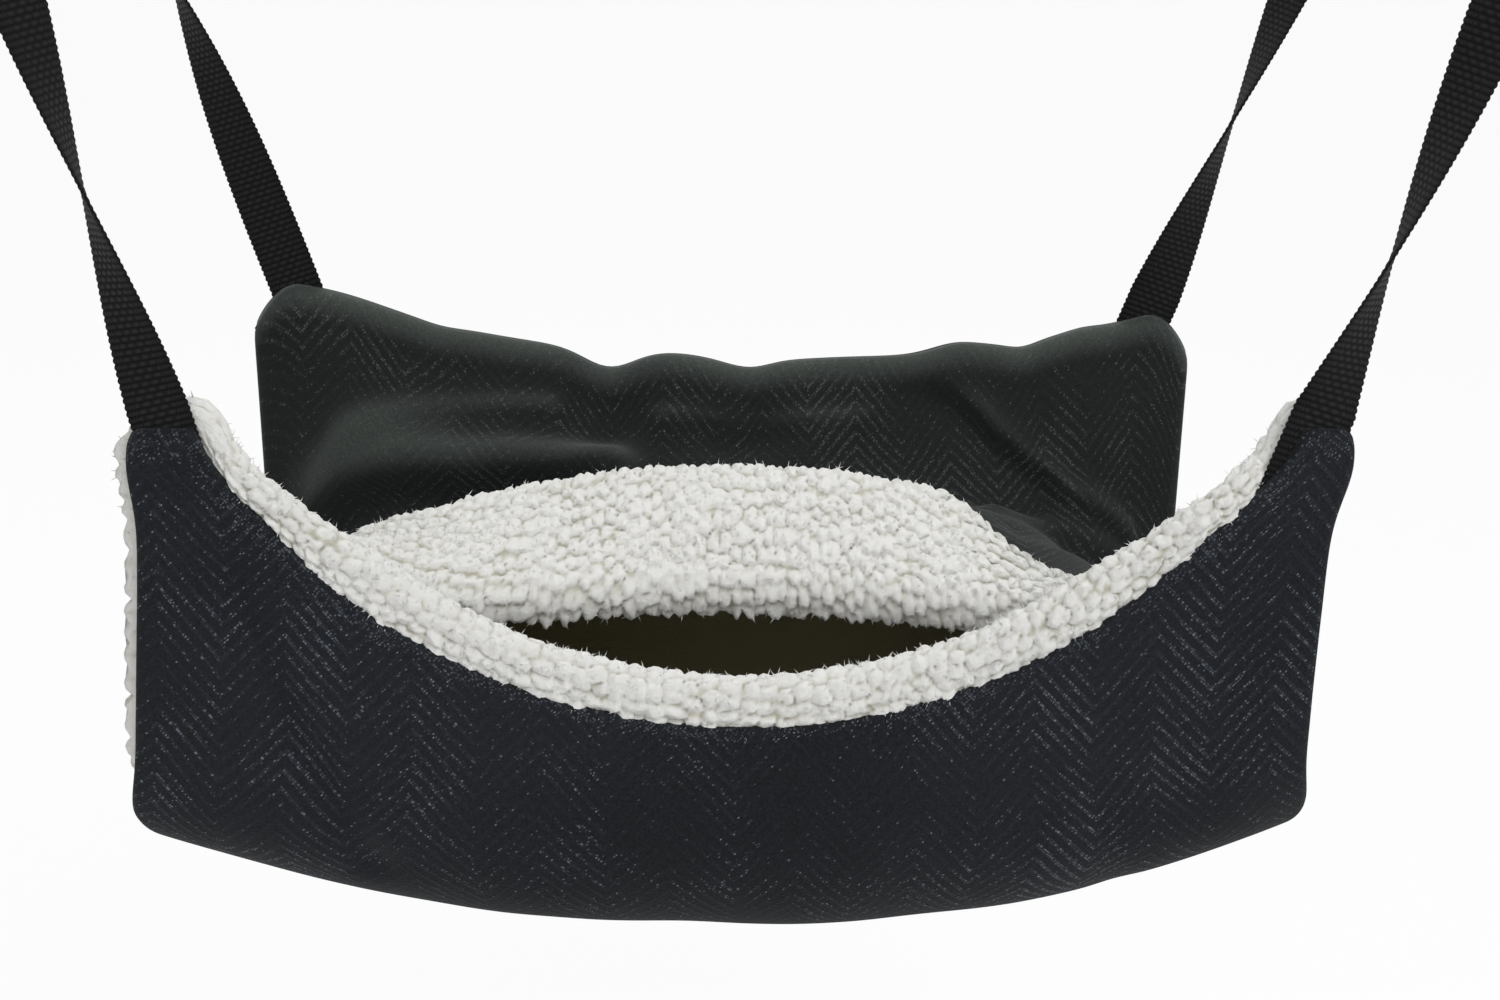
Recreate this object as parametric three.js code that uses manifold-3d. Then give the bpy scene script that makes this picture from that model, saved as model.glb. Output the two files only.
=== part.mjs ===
// Small pet hammock: a sling of two cloth layers with a sleeping pocket between them, hung at its
// four corners on webbing straps that end in swivel bolt snaps.
// Millimetres, +Z up, +X to the right, +Y to the back. The origin is the middle of the four points
// where the snaps bear on what they hang from.

import * as THREE from 'three';
import { mergeVertices } from 'three/addons/utils/BufferGeometryUtils.js';
import Module from 'manifold-3d';

const wasm = await Module();
wasm.setup();

const { Vector3, Vector2, MathUtils } = THREE;
const { lerp, clamp, smoothstep, degToRad } = MathUtils;

// Gap between pieces that touch.
const fitGap = 0.3;
// How far a cutting tool runs past the face it cuts.
const overrun = 1;

// Where it hangs: spread of the snaps across, drop from the snaps to the front corners, and how
// much further to the right the front snaps hang than the back ones.
const hang = { span: 512, drop: 270, frontOffset: 12 };

// The sling: width at its four corners, measured from the middle, and its cross-section.
const sling = {
  frontLeft: 187.6,
  frontRight: 185.5,
  backLeft: 188.5,
  backRight: 171,
  depth: 170,
  leftFlare: 13.4,
  rightTuck: 2,
  floorDrop: 194,
  leftLift: 36,
  rightLift: 41,
  footRadius: 58,
};
// How steeply the floor rises to its ends.
const floorSteepness = 2.4;

// The straps pull the top corners of the front wall outwards.
const frontEar = { left: 3.6, right: 5, down: 8, spread: 16 };

// Its front rim dips in a round arc between the two strap corners.
const frontRim = { dip: 98, halfChord: 168.9, cornerRise: 3.2, rightOffset: 2.3 };

// Its back rim rises to the left and sags in the middle, with rounded corners.
const backRim = { leftRise: 15, rightRise: 4, sag: 27.5, cornerFall: 20, cornerWidth: 18 };
const rimWaves = [
  { acrossShare: -0.82, rise: 3.3, spread: 25 },
  { acrossShare: -0.28, rise: -6.5, spread: 13 },
  { acrossShare: 0.01, rise: -3, spread: 12 },
  { acrossShare: 0.48, rise: 3.2, spread: 14 },
  { acrossShare: 0.63, rise: -2.2, spread: 9 },
];

const cloth = { wall: 2 };
const frontLining = {
  pile: 8,
  roll: 12,
  rollHeight: 16.5,
  cornerHeight: 5,
  cornerBlend: 57,
  rollBlend: 15,
  leftPeek: 4,
};
const floorLining = { wall: 2, topMargin: 42 };

// The upper layer: it hangs down inside the back wall, crosses over the pocket and ends in a lip
// whose lining is turned back over it as a cuff.
const cover = {
  rimInset: 1.5,
  backDrop: 20,
  backLean: 4.5,
  troughDrop: 35,
  troughSideFall: 30,
  troughY: 48,
  crownDrop: 29,
  crownSideFall: 18,
  crownLeftRise: 4,
  crownY: 12,
  sideWidth: 184,
  lipY: -24,
  lipSideY: -60,
  lipWidth: 105,
  lipFall: 22,
  lipLift: 49,
};
// How steeply the upper layer drops to its side seams, how its lip rises between them, and over
// which shares of its length its side seams cross from the back wall to the front one.
const sideSteepness = 6;
const lipFullness = 1.7;
const seamCrossing = { fromShare: 0.4, toShare: 0.8 };
const coverLining = { pile: 7, sidePile: 3, sideBlend: 30 };
// The cuff reaches further back at its sides, and both its ends narrow to a hem.
const cuff = {
  pile: 8,
  reach: 50,
  sideReach: 72,
  hem: 6,
  leftEnd: 175,
  leftBlend: 30,
  rightEnd: 118,
  rightBlend: 50,
  looseness: 1.2,
};

const webbing = {
  width: 20,
  thickness: 1.6,
  tab: 25,
  flat: 9,
  sewnReturn: 24,
  loopFlare: 9,
  frontInset: 11,
  backInset: 16,
  turnDeg: 180,
};

// The swivel bolt snap.
const eye = { barWidth: 3, depth: 3, slotHeight: 8, sideGap: 0.8, corner: 2.5, soften: 0.5 };
const post = { radius: 2.1, runningGap: 0.25, headRadius: 3.4, headHeight: 1.6 };
const snap = {
  throatHalf: 6,
  throatHeight: 28.5,
  stock: 5,
  depth: 5,
  soften: 0.8,
  baseHeight: 6,
  baseRadius: 5,
  mouth: 7,
  tipDrop: 2,
};
const barrel = { radius: 4, floor: 1.4 };
const bolt = { radius: 2.4, runningGap: 0.2, grip: 6.5, travel: 6.5, tipChamfer: 0.6 };
const knob = { stem: 1.2, radius: 2.6, height: 1.8, above: 2.5, standOff: 0.4 };
const spring = { wire: 0.7, radius: 1.7, turns: 5 };

// Facet counts of the round pieces.
const facets = { round: 12, arc: 6, corner: 2, springTurn: 8, springWire: 5 };

// Grid counts of the cloth pieces.
const grid = { columns: 24, frontRows: 5, arcRows: 4, floorRows: 2, backRows: 4, coverLimbRows: 3 };
const cuffRows = 4;
const lipRows = 3;
const twistRows = 18;
const loopRows = 8;

// Soft folds pressed into the front wall. Their paths are shares across and down the sling.
const wallFolds = [
  { pathShares: [[-0.83, 0.33], [-0.71, 0.64]], height: 3.5, spread: 9 },
  { pathShares: [[0.84, 0.38], [0.79, 0.62]], height: 3.5, spread: 15 },
];

// Folds that stand up from the upper layer or sink into it. Their paths are shares across and from
// the back rim to the lip.
const coverFolds = [
  { pathShares: [[-0.91, 0.135], [-0.64, 0.19], [-0.48, 0.23], [-0.24, 0.3]], height: 8, spread: 9 },
  { pathShares: [[-0.8, 0.27], [-0.48, 0.33], [-0.3, 0.38]], height: -5, spread: 9 },
  { pathShares: [[0.4, 0], [0.56, 0.14], [0.72, 0.23], [0.87, 0.22]], height: 5, spread: 9 },
  { pathShares: [[0.54, 0.45], [0.64, 0.35], [0.86, 0.27]], height: 5, spread: 9 },
  { pathShares: [[0.56, 0.6], [0.75, 0.5]], height: -4, spread: 9 },
];

const finish = {
  herringbone: { color: 0x24282b, roughness: 0.95, metalness: 0 },
  sherpa: { color: 0xe9e7dd, roughness: 1, metalness: 0 },
  innerCloth: { color: 0x262418, roughness: 0.8, metalness: 0 },
  webbing: { color: 0x17171a, roughness: 0.7, metalness: 0 },
  nickel: { color: 0xb9bcc0, roughness: 0.3, metalness: 1 },
  springSteel: { color: 0x8d9196, roughness: 0.4, metalness: 1 },
};

const half = (value) => value / 2;
const fullTurn = Math.PI + Math.PI;
const frontPlane = -half(sling.depth);
const backPlane = half(sling.depth);

// Shape of the sling

// Half width of the sling at a place between front and back, and up or down.
function edgeHalf(side, y, z) {
  const back = clamp((y - frontPlane) / sling.depth, 0, 1);
  const down = clamp(-z / (sling.floorDrop - sling.footRadius), 0, 1);
  const pull = (1 - back) ** 2 * Math.exp(-(((z + frontEar.down) / frontEar.spread) ** 2));
  if (side < 0) {
    const flare = sling.leftFlare * down * (1 - back);
    return lerp(sling.frontLeft, sling.backLeft, back) + flare + frontEar.left * pull;
  }
  return lerp(sling.frontRight, sling.backRight, back) - sling.rightTuck * down + frontEar.right * pull;
}

const placed = (across, y, z) => new Vector3(across * edgeHalf(across, y, z), y, z);
const nominalX = (across) => across * half(sling.frontLeft + sling.frontRight);

function frontRimHeight(across) {
  const { dip, halfChord, cornerRise, rightOffset } = frontRim;
  const rise = dip + cornerRise;
  const radius = (halfChord ** 2 + rise ** 2) / (rise + rise);
  const x = Math.min(Math.abs(nominalX(across) - rightOffset), halfChord);
  return radius - dip - Math.sqrt(radius ** 2 - x ** 2);
}

function backRimHeight(across) {
  const halfWidth = half(sling.backLeft + sling.backRight);
  const corner = 1 - backRim.cornerWidth / halfWidth;
  const rounding = clamp((Math.abs(across) - corner) / (1 - corner), 0, 1) ** 2;
  const tilt = lerp(backRim.leftRise, backRim.rightRise, half(across + 1));
  const waves = rimWaves.reduce((sum, wave) => {
    const away = nominalX(across - wave.acrossShare) / wave.spread;
    return sum + wave.rise * Math.exp(-(away ** 2));
  }, 0);
  return tilt - backRim.sag * (1 - across ** 2) - backRim.cornerFall * rounding + waves;
}

function floorHeight(across) {
  const lift = lerp(sling.leftLift, sling.rightLift, half(across + 1));
  return -sling.floorDrop + lift * Math.abs(across) ** floorSteepness;
}

// A fold is highest along its path and fades to both sides and at its ends.
function foldHeight(folds, point, scale) {
  const spot = point.clone().multiply(scale);
  let height = 0;
  for (const fold of folds) {
    const path = fold.pathShares.map((shares) => new Vector2(...shares).multiply(scale));
    const distances = path.slice(1).map((end, i) => {
      const along = end.clone().sub(path[i]);
      const offset = spot.clone().sub(path[i]);
      const reach = clamp(offset.dot(along) / along.lengthSq(), 0, 1);
      return offset.sub(along.multiplyScalar(reach)).length();
    });
    height += fold.height * Math.exp(-((Math.min(...distances) / fold.spread) ** 2));
  }
  return height;
}

// Points evenly spaced from one end towards the other, without the last.
function steps(from, to, count) {
  return Array.from({ length: count }, (unused, i) => from.clone().lerp(to, i / count));
}

function arcSteps(center, radius, fromDeg, toDeg, count) {
  return Array.from({ length: count }, (unused, i) => {
    const angle = degToRad(lerp(fromDeg, toDeg, i / count));
    return new Vector2(center.x + radius * Math.cos(angle), center.y + radius * Math.sin(angle));
  });
}

// Cross-section of the trough from front to back as points of y and z, drawn in by an inset.
function troughSection(across, inset, frontTop, backTop, frontRows, backRows) {
  const front = frontPlane + inset;
  const back = backPlane - inset;
  const radius = sling.footRadius - inset;
  const footTop = floorHeight(across) + sling.footRadius;
  const frontFoot = new Vector2(frontPlane + sling.footRadius, footTop);
  const backFoot = new Vector2(backPlane - sling.footRadius, footTop);
  const floor = footTop - radius;
  return [
    ...steps(new Vector2(front, frontTop), new Vector2(front, footTop), frontRows),
    ...arcSteps(frontFoot, radius, 180, 270, grid.arcRows),
    ...steps(new Vector2(frontFoot.x, floor), new Vector2(backFoot.x, floor), grid.floorRows),
    ...arcSteps(backFoot, radius, 270, 360, grid.arcRows),
    ...steps(new Vector2(back, footTop), new Vector2(back, backTop), backRows),
    new Vector2(back, backTop),
  ];
}

const columnShares = Array.from({ length: grid.columns + 1 }, (unused, j) => (j + j) / grid.columns - 1);

// Unit normals of a grid of points, on the side that columns times rows points to.
function gridNormals(points) {
  return points.map((column, j) => column.map((unused, i) => {
    const left = points[Math.max(j - 1, 0)][i];
    const right = points[Math.min(j + 1, points.length - 1)][i];
    const before = column[Math.max(i - 1, 0)];
    const after = column[Math.min(i + 1, column.length - 1)];
    const across = right.clone().sub(left);
    const along = after.clone().sub(before);
    return across.cross(along).normalize();
  }));
}

// The outer face of the sling, one column for each share across, from front rim to back rim.
function slingFace() {
  const scale = new Vector2(half(sling.frontLeft + sling.frontRight), sling.floorDrop);
  return columnShares.map((across) => {
    const frontTop = frontRimHeight(across);
    const backTop = backRimHeight(across);
    const section = troughSection(across, 0, frontTop, backTop, grid.frontRows, grid.backRows);
    return section.map((point) => {
      const wall = smoothstep(-point.x, 0, half(sling.depth));
      const down = -point.y / sling.floorDrop;
      const press = foldHeight(wallFolds, new Vector2(across, down), scale) * wall;
      return placed(across, point.x + press, point.y);
    });
  });
}

const slingPoints = slingFace();
const slingNormals = gridNormals(slingPoints);
const slingRowCount = slingPoints[0].length;

// Closed solid between two skins of the same grid. The second skin lies on the side that columns
// times rows points to.
function shell(innerSkin, outerSkin) {
  const columns = innerSkin.length;
  const rows = innerSkin[0].length;
  const end = columns - 1;
  const positions = [...innerSkin.flat(), ...outerSkin.flat()].flatMap((point) => point.toArray());
  const inner = (j, i) => j * rows + i;
  const outer = (j, i) => columns * rows + j * rows + i;
  const index = [];
  const quad = (a, b, c, d) => index.push(a, b, c, a, c, d);
  for (let j = 0; j < end; j += 1) {
    for (let i = 0; i < rows - 1; i += 1) {
      quad(outer(j, i), outer(j + 1, i), outer(j + 1, i + 1), outer(j, i + 1));
      quad(inner(j, i), inner(j, i + 1), inner(j + 1, i + 1), inner(j + 1, i));
    }
    quad(inner(j, 0), inner(j + 1, 0), outer(j + 1, 0), outer(j, 0));
    quad(outer(j, rows - 1), outer(j + 1, rows - 1), inner(j + 1, rows - 1), inner(j, rows - 1));
  }
  for (let i = 0; i < rows - 1; i += 1) {
    quad(inner(0, i), outer(0, i), outer(0, i + 1), inner(0, i + 1));
    quad(outer(end, i), inner(end, i), inner(end, i + 1), outer(end, i + 1));
  }
  const geometry = new THREE.BufferGeometry();
  geometry.setAttribute('position', new THREE.Float32BufferAttribute(positions, 3));
  geometry.setIndex(index);
  return geometry;
}

const offsetSkin = (points, normals, depth) => points.map((column, j) => column.map(
  (point, i) => point.clone().addScaledVector(normals[j][i], depth(j, i)),
));

function slingOuter() {
  return shell(slingPoints, offsetSkin(slingPoints, slingNormals, () => cloth.wall));
}

// Room that a strap's sewn-in tab needs between the outer cloth and what lies on it.
const tabRoom = webbing.thickness + fitGap;

// The rim's own upward direction within the front wall.
function rimUp(points, j) {
  const left = points[Math.max(j - 1, 0)][0];
  const right = points[Math.min(j + 1, points.length - 1)][0];
  return new Vector3(left.z - right.z, 0, right.x - left.x).normalize();
}

function frontTabRoom(across) {
  const start = sling.frontRight - webbing.frontInset - webbing.width;
  const blend = webbing.frontInset;
  return tabRoom * smoothstep(Math.abs(nominalX(across)), start - blend, start);
}

// Pile lining of the front wall, with a fat roll that stands above the front rim.
function frontLiningSolid() {
  const rowCount = grid.frontRows + half(grid.arcRows) + 1;
  const inner = [];
  const outer = [];
  columnShares.forEach((across, j) => {
    const rim = slingPoints[j][0];
    const x = Math.abs(nominalX(across));
    const corner = smoothstep(x, frontRim.halfChord - frontLining.cornerBlend, frontRim.halfChord);
    const rollHeight = lerp(frontLining.rollHeight, frontLining.cornerHeight, corner);
    const start = cloth.wall + fitGap + frontTabRoom(across);
    const innerColumn = [];
    const outerColumn = [];
    const add = (point, normal, near, far) => {
      innerColumn.push(point.clone().addScaledVector(normal, near));
      outerColumn.push(point.clone().addScaledVector(normal, far));
    };
    const rimNormal = new Vector3(0, 1, 0);
    const crest = lerp(frontLining.roll, frontLining.pile, corner);
    const up = rimUp(slingPoints, j);
    const rollTop = rim.clone().addScaledVector(up, rollHeight);
    const rollWaist = rim.clone().addScaledVector(up, half(rollHeight));
    add(rollTop, rimNormal, start + half(half(crest)), start + crest - half(half(crest)));
    add(rollWaist, rimNormal, start, start + crest);
    for (let i = 0; i < rowCount; i += 1) {
      const point = slingPoints[j][i];
      const fade = clamp((rim.z - point.z) / frontLining.rollBlend, 0, 1);
      add(point, slingNormals[j][i], start, start + lerp(crest, frontLining.pile, fade));
    }
    if (j === 0) {
      [...innerColumn, ...outerColumn].forEach((point) => point.setX(point.x - frontLining.leftPeek));
    }
    inner.push(innerColumn);
    outer.push(outerColumn);
  });
  return shell(inner, outer);
}

// Smooth inner cloth of the pocket, over the floor and up the inside of the back wall.
function floorLiningSolid() {
  const firstRow = grid.frontRows + half(grid.arcRows) + 1;
  const columnSpan = slingPoints.map((column) => column.slice(firstRow, slingRowCount));
  const normalSpan = slingNormals.map((column) => column.slice(firstRow, slingRowCount));
  const last = columnSpan[0].length - 1;
  columnSpan.forEach((column) => {
    const foot = column[last - grid.backRows];
    const top = column[last].z - floorLining.topMargin;
    for (let i = last - grid.backRows; i <= last; i += 1) {
      const share = (i - last + grid.backRows) / grid.backRows;
      column[i] = column[i].clone().setZ(lerp(foot.z, top, share));
    }
  });
  const near = () => cloth.wall + fitGap;
  const far = () => cloth.wall + fitGap + floorLining.wall;
  return shell(offsetSkin(columnSpan, normalSpan, near), offsetSkin(columnSpan, normalSpan, far));
}

// Shape of the upper layer

// How far the upper layer lies from the sling's outer face along the back and along the front.
const backStack = cloth.wall + tabRoom + fitGap + coverLining.sidePile + fitGap + half(cloth.wall) + fitGap;
const frontStack = cloth.wall + tabRoom + fitGap + frontLining.pile + fitGap + coverLining.sidePile
  + fitGap + half(cloth.wall);

function lipPoint(across) {
  const x = Math.abs(nominalX(across));
  const open = clamp(1 - (x / cover.lipWidth) ** 2, 0, 1);
  const lifted = clamp(1 - (x / cover.sideWidth) ** 2, 0, 1) ** lipFullness;
  return new Vector2(
    lerp(cover.lipSideY, cover.lipY, open),
    frontRimHeight(across) - cover.lipFall + cover.lipLift * lifted,
  );
}

// One column of the upper layer's middle, from the back rim to the lip. Along the side seams it
// follows the sling, and towards the middle it is held up over the pocket.
function coverColumn(across) {
  const lifted = 1 - clamp(Math.abs(nominalX(across)) / cover.sideWidth, 0, 1) ** sideSteepness;
  const lip = lipPoint(across);
  const rim = backRimHeight(across) - cover.rimInset;
  const limb = grid.coverLimbRows;
  const low = troughSection(across, backStack, lip.y, rim, limb, limb).reverse();
  const snug = troughSection(across, frontStack, lip.y, rim, limb, limb).reverse();
  const rows = low.length - 1;
  const rise = backRimHeight(0);
  const crown = rise - cover.crownDrop - cover.crownLeftRise * across;
  const path = new THREE.SplineCurve([
    low[0],
    new Vector2(low[0].x - cover.backLean, rim - cover.backDrop),
    new Vector2(cover.troughY, rise - cover.troughDrop - cover.troughSideFall * across ** 2),
    new Vector2(cover.crownY, crown - cover.crownSideFall * across ** 2),
    lip,
  ]).getSpacedPoints(rows);
  return low.map((point, i) => {
    const towardsFront = smoothstep(i / rows, seamCrossing.fromShare, seamCrossing.toShare);
    const side = point.clone().lerp(snug[i], towardsFront);
    const spot = side.lerp(path[i], lifted);
    return placed(across, spot.x, spot.y);
  });
}

// The folds stand up square to the smooth layer and die out at its rim, its seams and its lip.
function foldedCover(points) {
  const normals = gridNormals(points);
  return points.map((column, j) => {
    const rows = column.length - 1;
    const length = columnLength(column);
    const scale = new Vector2(nominalX(1), length);
    const fromSeam = cover.sideWidth - Math.abs(nominalX(columnShares[j]));
    const seamFade = smoothstep(fromSeam, 0, coverLining.sideBlend);
    return column.map((point, i) => {
      const share = i / rows;
      const endFade = smoothstep(Math.min(share, 1 - share) * length, 0, coverLining.sideBlend);
      const height = foldHeight(coverFolds, new Vector2(columnShares[j], share), scale);
      return point.clone().addScaledVector(normals[j][i], -height * seamFade * endFade);
    });
  });
}

function columnLength(column) {
  return column.slice(1).reduce((sum, point, i) => sum + point.distanceTo(column[i]), 0);
}

const coverPoints = foldedCover(columnShares.map(coverColumn));
const coverNormals = gridNormals(coverPoints);
const coverRows = coverPoints[0].length - 1;

function coverOuter() {
  const above = offsetSkin(coverPoints, coverNormals, () => -half(cloth.wall));
  const below = offsetSkin(coverPoints, coverNormals, () => half(cloth.wall));
  return shell(above, below);
}

// A place between two rows of a cover column, with its normal.
function coverAt(j, row) {
  const before = Math.min(Math.floor(row), coverRows - 1);
  const share = row - before;
  const point = coverPoints[j][before].clone().lerp(coverPoints[j][before + 1], share);
  const normal = coverNormals[j][before].clone().lerp(coverNormals[j][before + 1], share).normalize();
  return { point, normal };
}

// Row of a cover column that lies a given length back from the lip.
function rowBackFromLip(column, length) {
  let left = length;
  for (let i = coverRows; i > 0; i -= 1) {
    const step = column[i].distanceTo(column[i - 1]);
    if (left <= step) {
      return i - left / step;
    }
    left -= step;
  }
  return 0;
}

// Pile lining under the upper layer, around its lip and back over it as the cuff.
function coverLiningSolid() {
  const inner = [];
  const outer = [];
  const near = half(cloth.wall) + fitGap;
  columnShares.forEach((across, j) => {
    const column = coverPoints[j];
    const fromSeam = cover.sideWidth - Math.abs(nominalX(across));
    const sideFade = smoothstep(fromSeam, 0, coverLining.sideBlend);
    const fromEnd = (across < 0 ? cuff.leftEnd : cuff.rightEnd) - Math.abs(nominalX(across));
    const turned = smoothstep(fromEnd, 0, across < 0 ? cuff.leftBlend : cuff.rightBlend);
    const pile = lerp(coverLining.sidePile, cuff.pile, Math.min(sideFade, turned));
    const reach = lerp(cuff.hem, lerp(cuff.reach, cuff.sideReach, across ** 2), turned);
    const total = columnLength(column);
    const innerColumn = [];
    const outerColumn = [];
    const add = (point, normal, depth, thick) => {
      innerColumn.push(point.clone().addScaledVector(normal, depth));
      outerColumn.push(point.clone().addScaledVector(normal, depth + thick));
    };
    let run = 0;
    column.forEach((point, i) => {
      run += i ? point.distanceTo(column[i - 1]) : 0;
      const room = backPlane - point.y - (backStack - coverLining.sidePile);
      const full = lerp(coverLining.sidePile, coverLining.pile, sideFade);
      const depth = clamp(room, coverLining.sidePile, full);
      const lipFade = smoothstep(run, total - cuff.reach, total);
      add(point, coverNormals[j][i], near, lerp(depth, pile, lipFade));
    });
    const end = column[coverRows];
    const endNormal = coverNormals[j][coverRows];
    const onward = end.clone().sub(column[coverRows - 1]).normalize();
    for (let k = 1; k < lipRows; k += 1) {
      const angle = Math.PI * (k / lipRows);
      const away = endNormal.clone().multiplyScalar(Math.cos(angle));
      add(end, away.addScaledVector(onward, Math.sin(angle)).normalize(), near, pile);
    }
    for (let k = 0; k <= cuffRows; k += 1) {
      const share = k / cuffRows;
      const { point, normal } = coverAt(j, rowBackFromLip(column, reach * share));
      const loose = near + cuff.looseness * Math.min(k, 1);
      const thick = k === cuffRows ? half(pile) : pile;
      add(point, normal.negate(), loose, thick);
    }
    inner.push(innerColumn);
    outer.push(outerColumn);
  });
  return shell(inner, outer);
}

// Straps

// The four corners: which side, where along the rim, and where along the strap it stands edge-on.
const corners = [
  { name: 'front_left', side: -1, back: false, edgeOnShare: 0.48 },
  { name: 'front_right', side: 1, back: false, edgeOnShare: 0.37 },
  { name: 'back_left', side: -1, back: true, edgeOnShare: 0.68 },
  { name: 'back_right', side: 1, back: true, edgeOnShare: 0.44 },
];

// Heights along the snap, measured up from the middle of the eye's lower bar.
const slotTop = half(eye.barWidth) + eye.slotHeight;
const eyeTop = slotTop + eye.barWidth;
const baseFloor = eyeTop + fitGap;
const baseTop = baseFloor + snap.baseHeight;
const bearing = baseTop + snap.throatHeight;
const arcCenter = bearing - snap.throatHalf;
const strapPlane = half(sling.depth) - cloth.wall - fitGap - half(webbing.thickness);

function cornerFrame(corner) {
  const { side, back } = corner;
  const y = back ? strapPlane : -strapPlane;
  const full = edgeHalf(side, y, 0);
  const edge = full - (back ? webbing.backInset : webbing.frontInset);
  const height = back ? backRimHeight((side * edge) / full) : 0;
  const shift = half(hang.frontOffset);
  const foot = new Vector3(side * edge - shift, y, height - hang.drop);
  const top = new Vector3(side * half(hang.span) + (back ? -shift : shift), y, 0);
  const lean = Math.atan2(top.x - foot.x, top.z - foot.z);
  return { foot, top, lean, length: foot.distanceTo(top) - bearing };
}

// A strap in its own frame: x across the webbing, y through it and z along it, up from the corner
// to the bar of the eye, around the bar and back down to where it is sewn on itself.
function strapSolid(corner, length) {
  const { width, thickness, tab, flat, sewnReturn, loopFlare, turnDeg } = webbing;
  const ply = half(thickness) + half(fitGap);
  const barReach = Math.hypot(half(eye.barWidth), half(eye.depth)) + fitGap + half(thickness);
  const neck = length - loopFlare;
  const merge = neck - sewnReturn;
  const bend = Math.log(half(1)) / Math.log(corner.edgeOnShare);
  const turn = corner.side * degToRad(turnDeg);
  const near = [];
  const far = [];
  const addRow = (y, z, angle, normalY, normalZ) => {
    const across = new Vector3(Math.cos(angle), Math.sin(angle), 0);
    const through = new Vector3(-Math.sin(angle) * normalY, Math.cos(angle) * normalY, normalZ);
    const middle = new Vector3(-Math.sin(angle) * y, Math.cos(angle) * y, z);
    const row = (side, depth) => middle.clone()
      .addScaledVector(across, side * half(width))
      .addScaledVector(through, depth * half(thickness));
    near.push([row(-1, -1), row(1, -1)]);
    far.push([row(-1, 1), row(1, 1)]);
  };
  addRow(0, -tab, 0, 1, 0);
  for (let k = 0; k <= twistRows; k += 1) {
    const share = k / twistRows;
    addRow(0, lerp(flat, merge, share), turn * share ** bend, 1, 0);
  }
  addRow(-ply, merge + loopFlare, turn, 1, 0);
  addRow(-ply, neck, turn, 1, 0);
  for (let k = 0; k <= loopRows; k += 1) {
    const angle = Math.PI * (k / loopRows);
    const y = -barReach * Math.cos(angle);
    addRow(y, length + barReach * Math.sin(angle), turn, Math.cos(angle), -Math.sin(angle));
  }
  addRow(ply, neck, turn, -1, 0);
  addRow(ply, merge + loopFlare, turn, -1, 0);
  const swap = (rows) => [0, 1].map((side) => rows.map((row) => row[side]));
  return shell(swap(far), swap(near));
}

// Snap pieces. Their frame has its origin in the middle of the eye's lower bar, x across the eye,
// y through it and z up towards the bearing point.

function toManifold(geometry) {
  const plain = geometry.clone();
  plain.deleteAttribute('normal');
  plain.deleteAttribute('uv');
  const merged = mergeVertices(plain);
  return new wasm.Manifold(new wasm.Mesh({
    numProp: 3,
    vertProperties: new Float32Array(merged.attributes.position.array),
    triVerts: new Uint32Array(merged.index.array),
  }));
}

function toGeometry(manifold) {
  const mesh = manifold.getMesh();
  const geometry = new THREE.BufferGeometry();
  geometry.setAttribute('position', new THREE.BufferAttribute(new Float32Array(mesh.vertProperties), 3));
  geometry.setIndex(new THREE.BufferAttribute(new Uint32Array(mesh.triVerts), 1));
  return geometry;
}

// A round rod standing on z.
function rod(radius, from, to, x) {
  return new THREE.CylinderGeometry(radius, radius, to - from, facets.round)
    .rotateX(half(Math.PI))
    .translate(x, 0, half(from + to));
}

// A flat outline in x and z given thickness along y, with softened edges.
function plate(shape, depth, soften, curveSegments) {
  return new THREE.ExtrudeGeometry(shape, {
    depth: depth - soften - soften,
    bevelSize: soften,
    bevelThickness: soften,
    bevelOffset: -soften,
    bevelSegments: 1,
    curveSegments,
  }).translate(0, 0, soften - half(depth)).rotateX(half(Math.PI));
}

function roundedRectangle(path, halfWidth, bottom, top, radius) {
  path.moveTo(-halfWidth + radius, bottom);
  path.lineTo(halfWidth - radius, bottom);
  path.absarc(halfWidth - radius, bottom + radius, radius, -half(Math.PI), 0, false);
  path.absarc(halfWidth - radius, top - radius, radius, 0, half(Math.PI), false);
  path.absarc(-halfWidth + radius, top - radius, radius, half(Math.PI), Math.PI, false);
  path.absarc(-halfWidth + radius, bottom + radius, radius, Math.PI, Math.PI + half(Math.PI), false);
  return path;
}

// Slotted eye for the webbing, with the post that the snap turns on and its peened head.
function swivelEye() {
  const innerHalf = half(webbing.width) + eye.sideGap;
  const outerHalf = innerHalf + eye.barWidth;
  const outline = roundedRectangle(new THREE.Shape(), outerHalf, -half(eye.barWidth), eyeTop, eye.corner);
  const slot = roundedRectangle(new THREE.Path(), innerHalf, half(eye.barWidth), slotTop, half(eye.corner));
  outline.holes.push(slot);
  const ring = toManifold(plate(outline, eye.depth, eye.soften, facets.corner));
  const headFloor = baseTop + fitGap;
  const stemFoot = eyeTop - half(eye.barWidth);
  const stem = toManifold(rod(post.radius, stemFoot, headFloor + half(post.headHeight), 0));
  const head = new THREE.LatheGeometry([
    new Vector2(0, headFloor),
    new Vector2(post.headRadius, headFloor),
    new Vector2(post.headRadius, headFloor + half(post.headHeight)),
    new Vector2(post.radius, headFloor + post.headHeight),
    new Vector2(0, headFloor + post.headHeight),
  ], facets.round).rotateX(half(Math.PI));
  return toGeometry(ring.add(stem).add(toManifold(head)));
}

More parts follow.
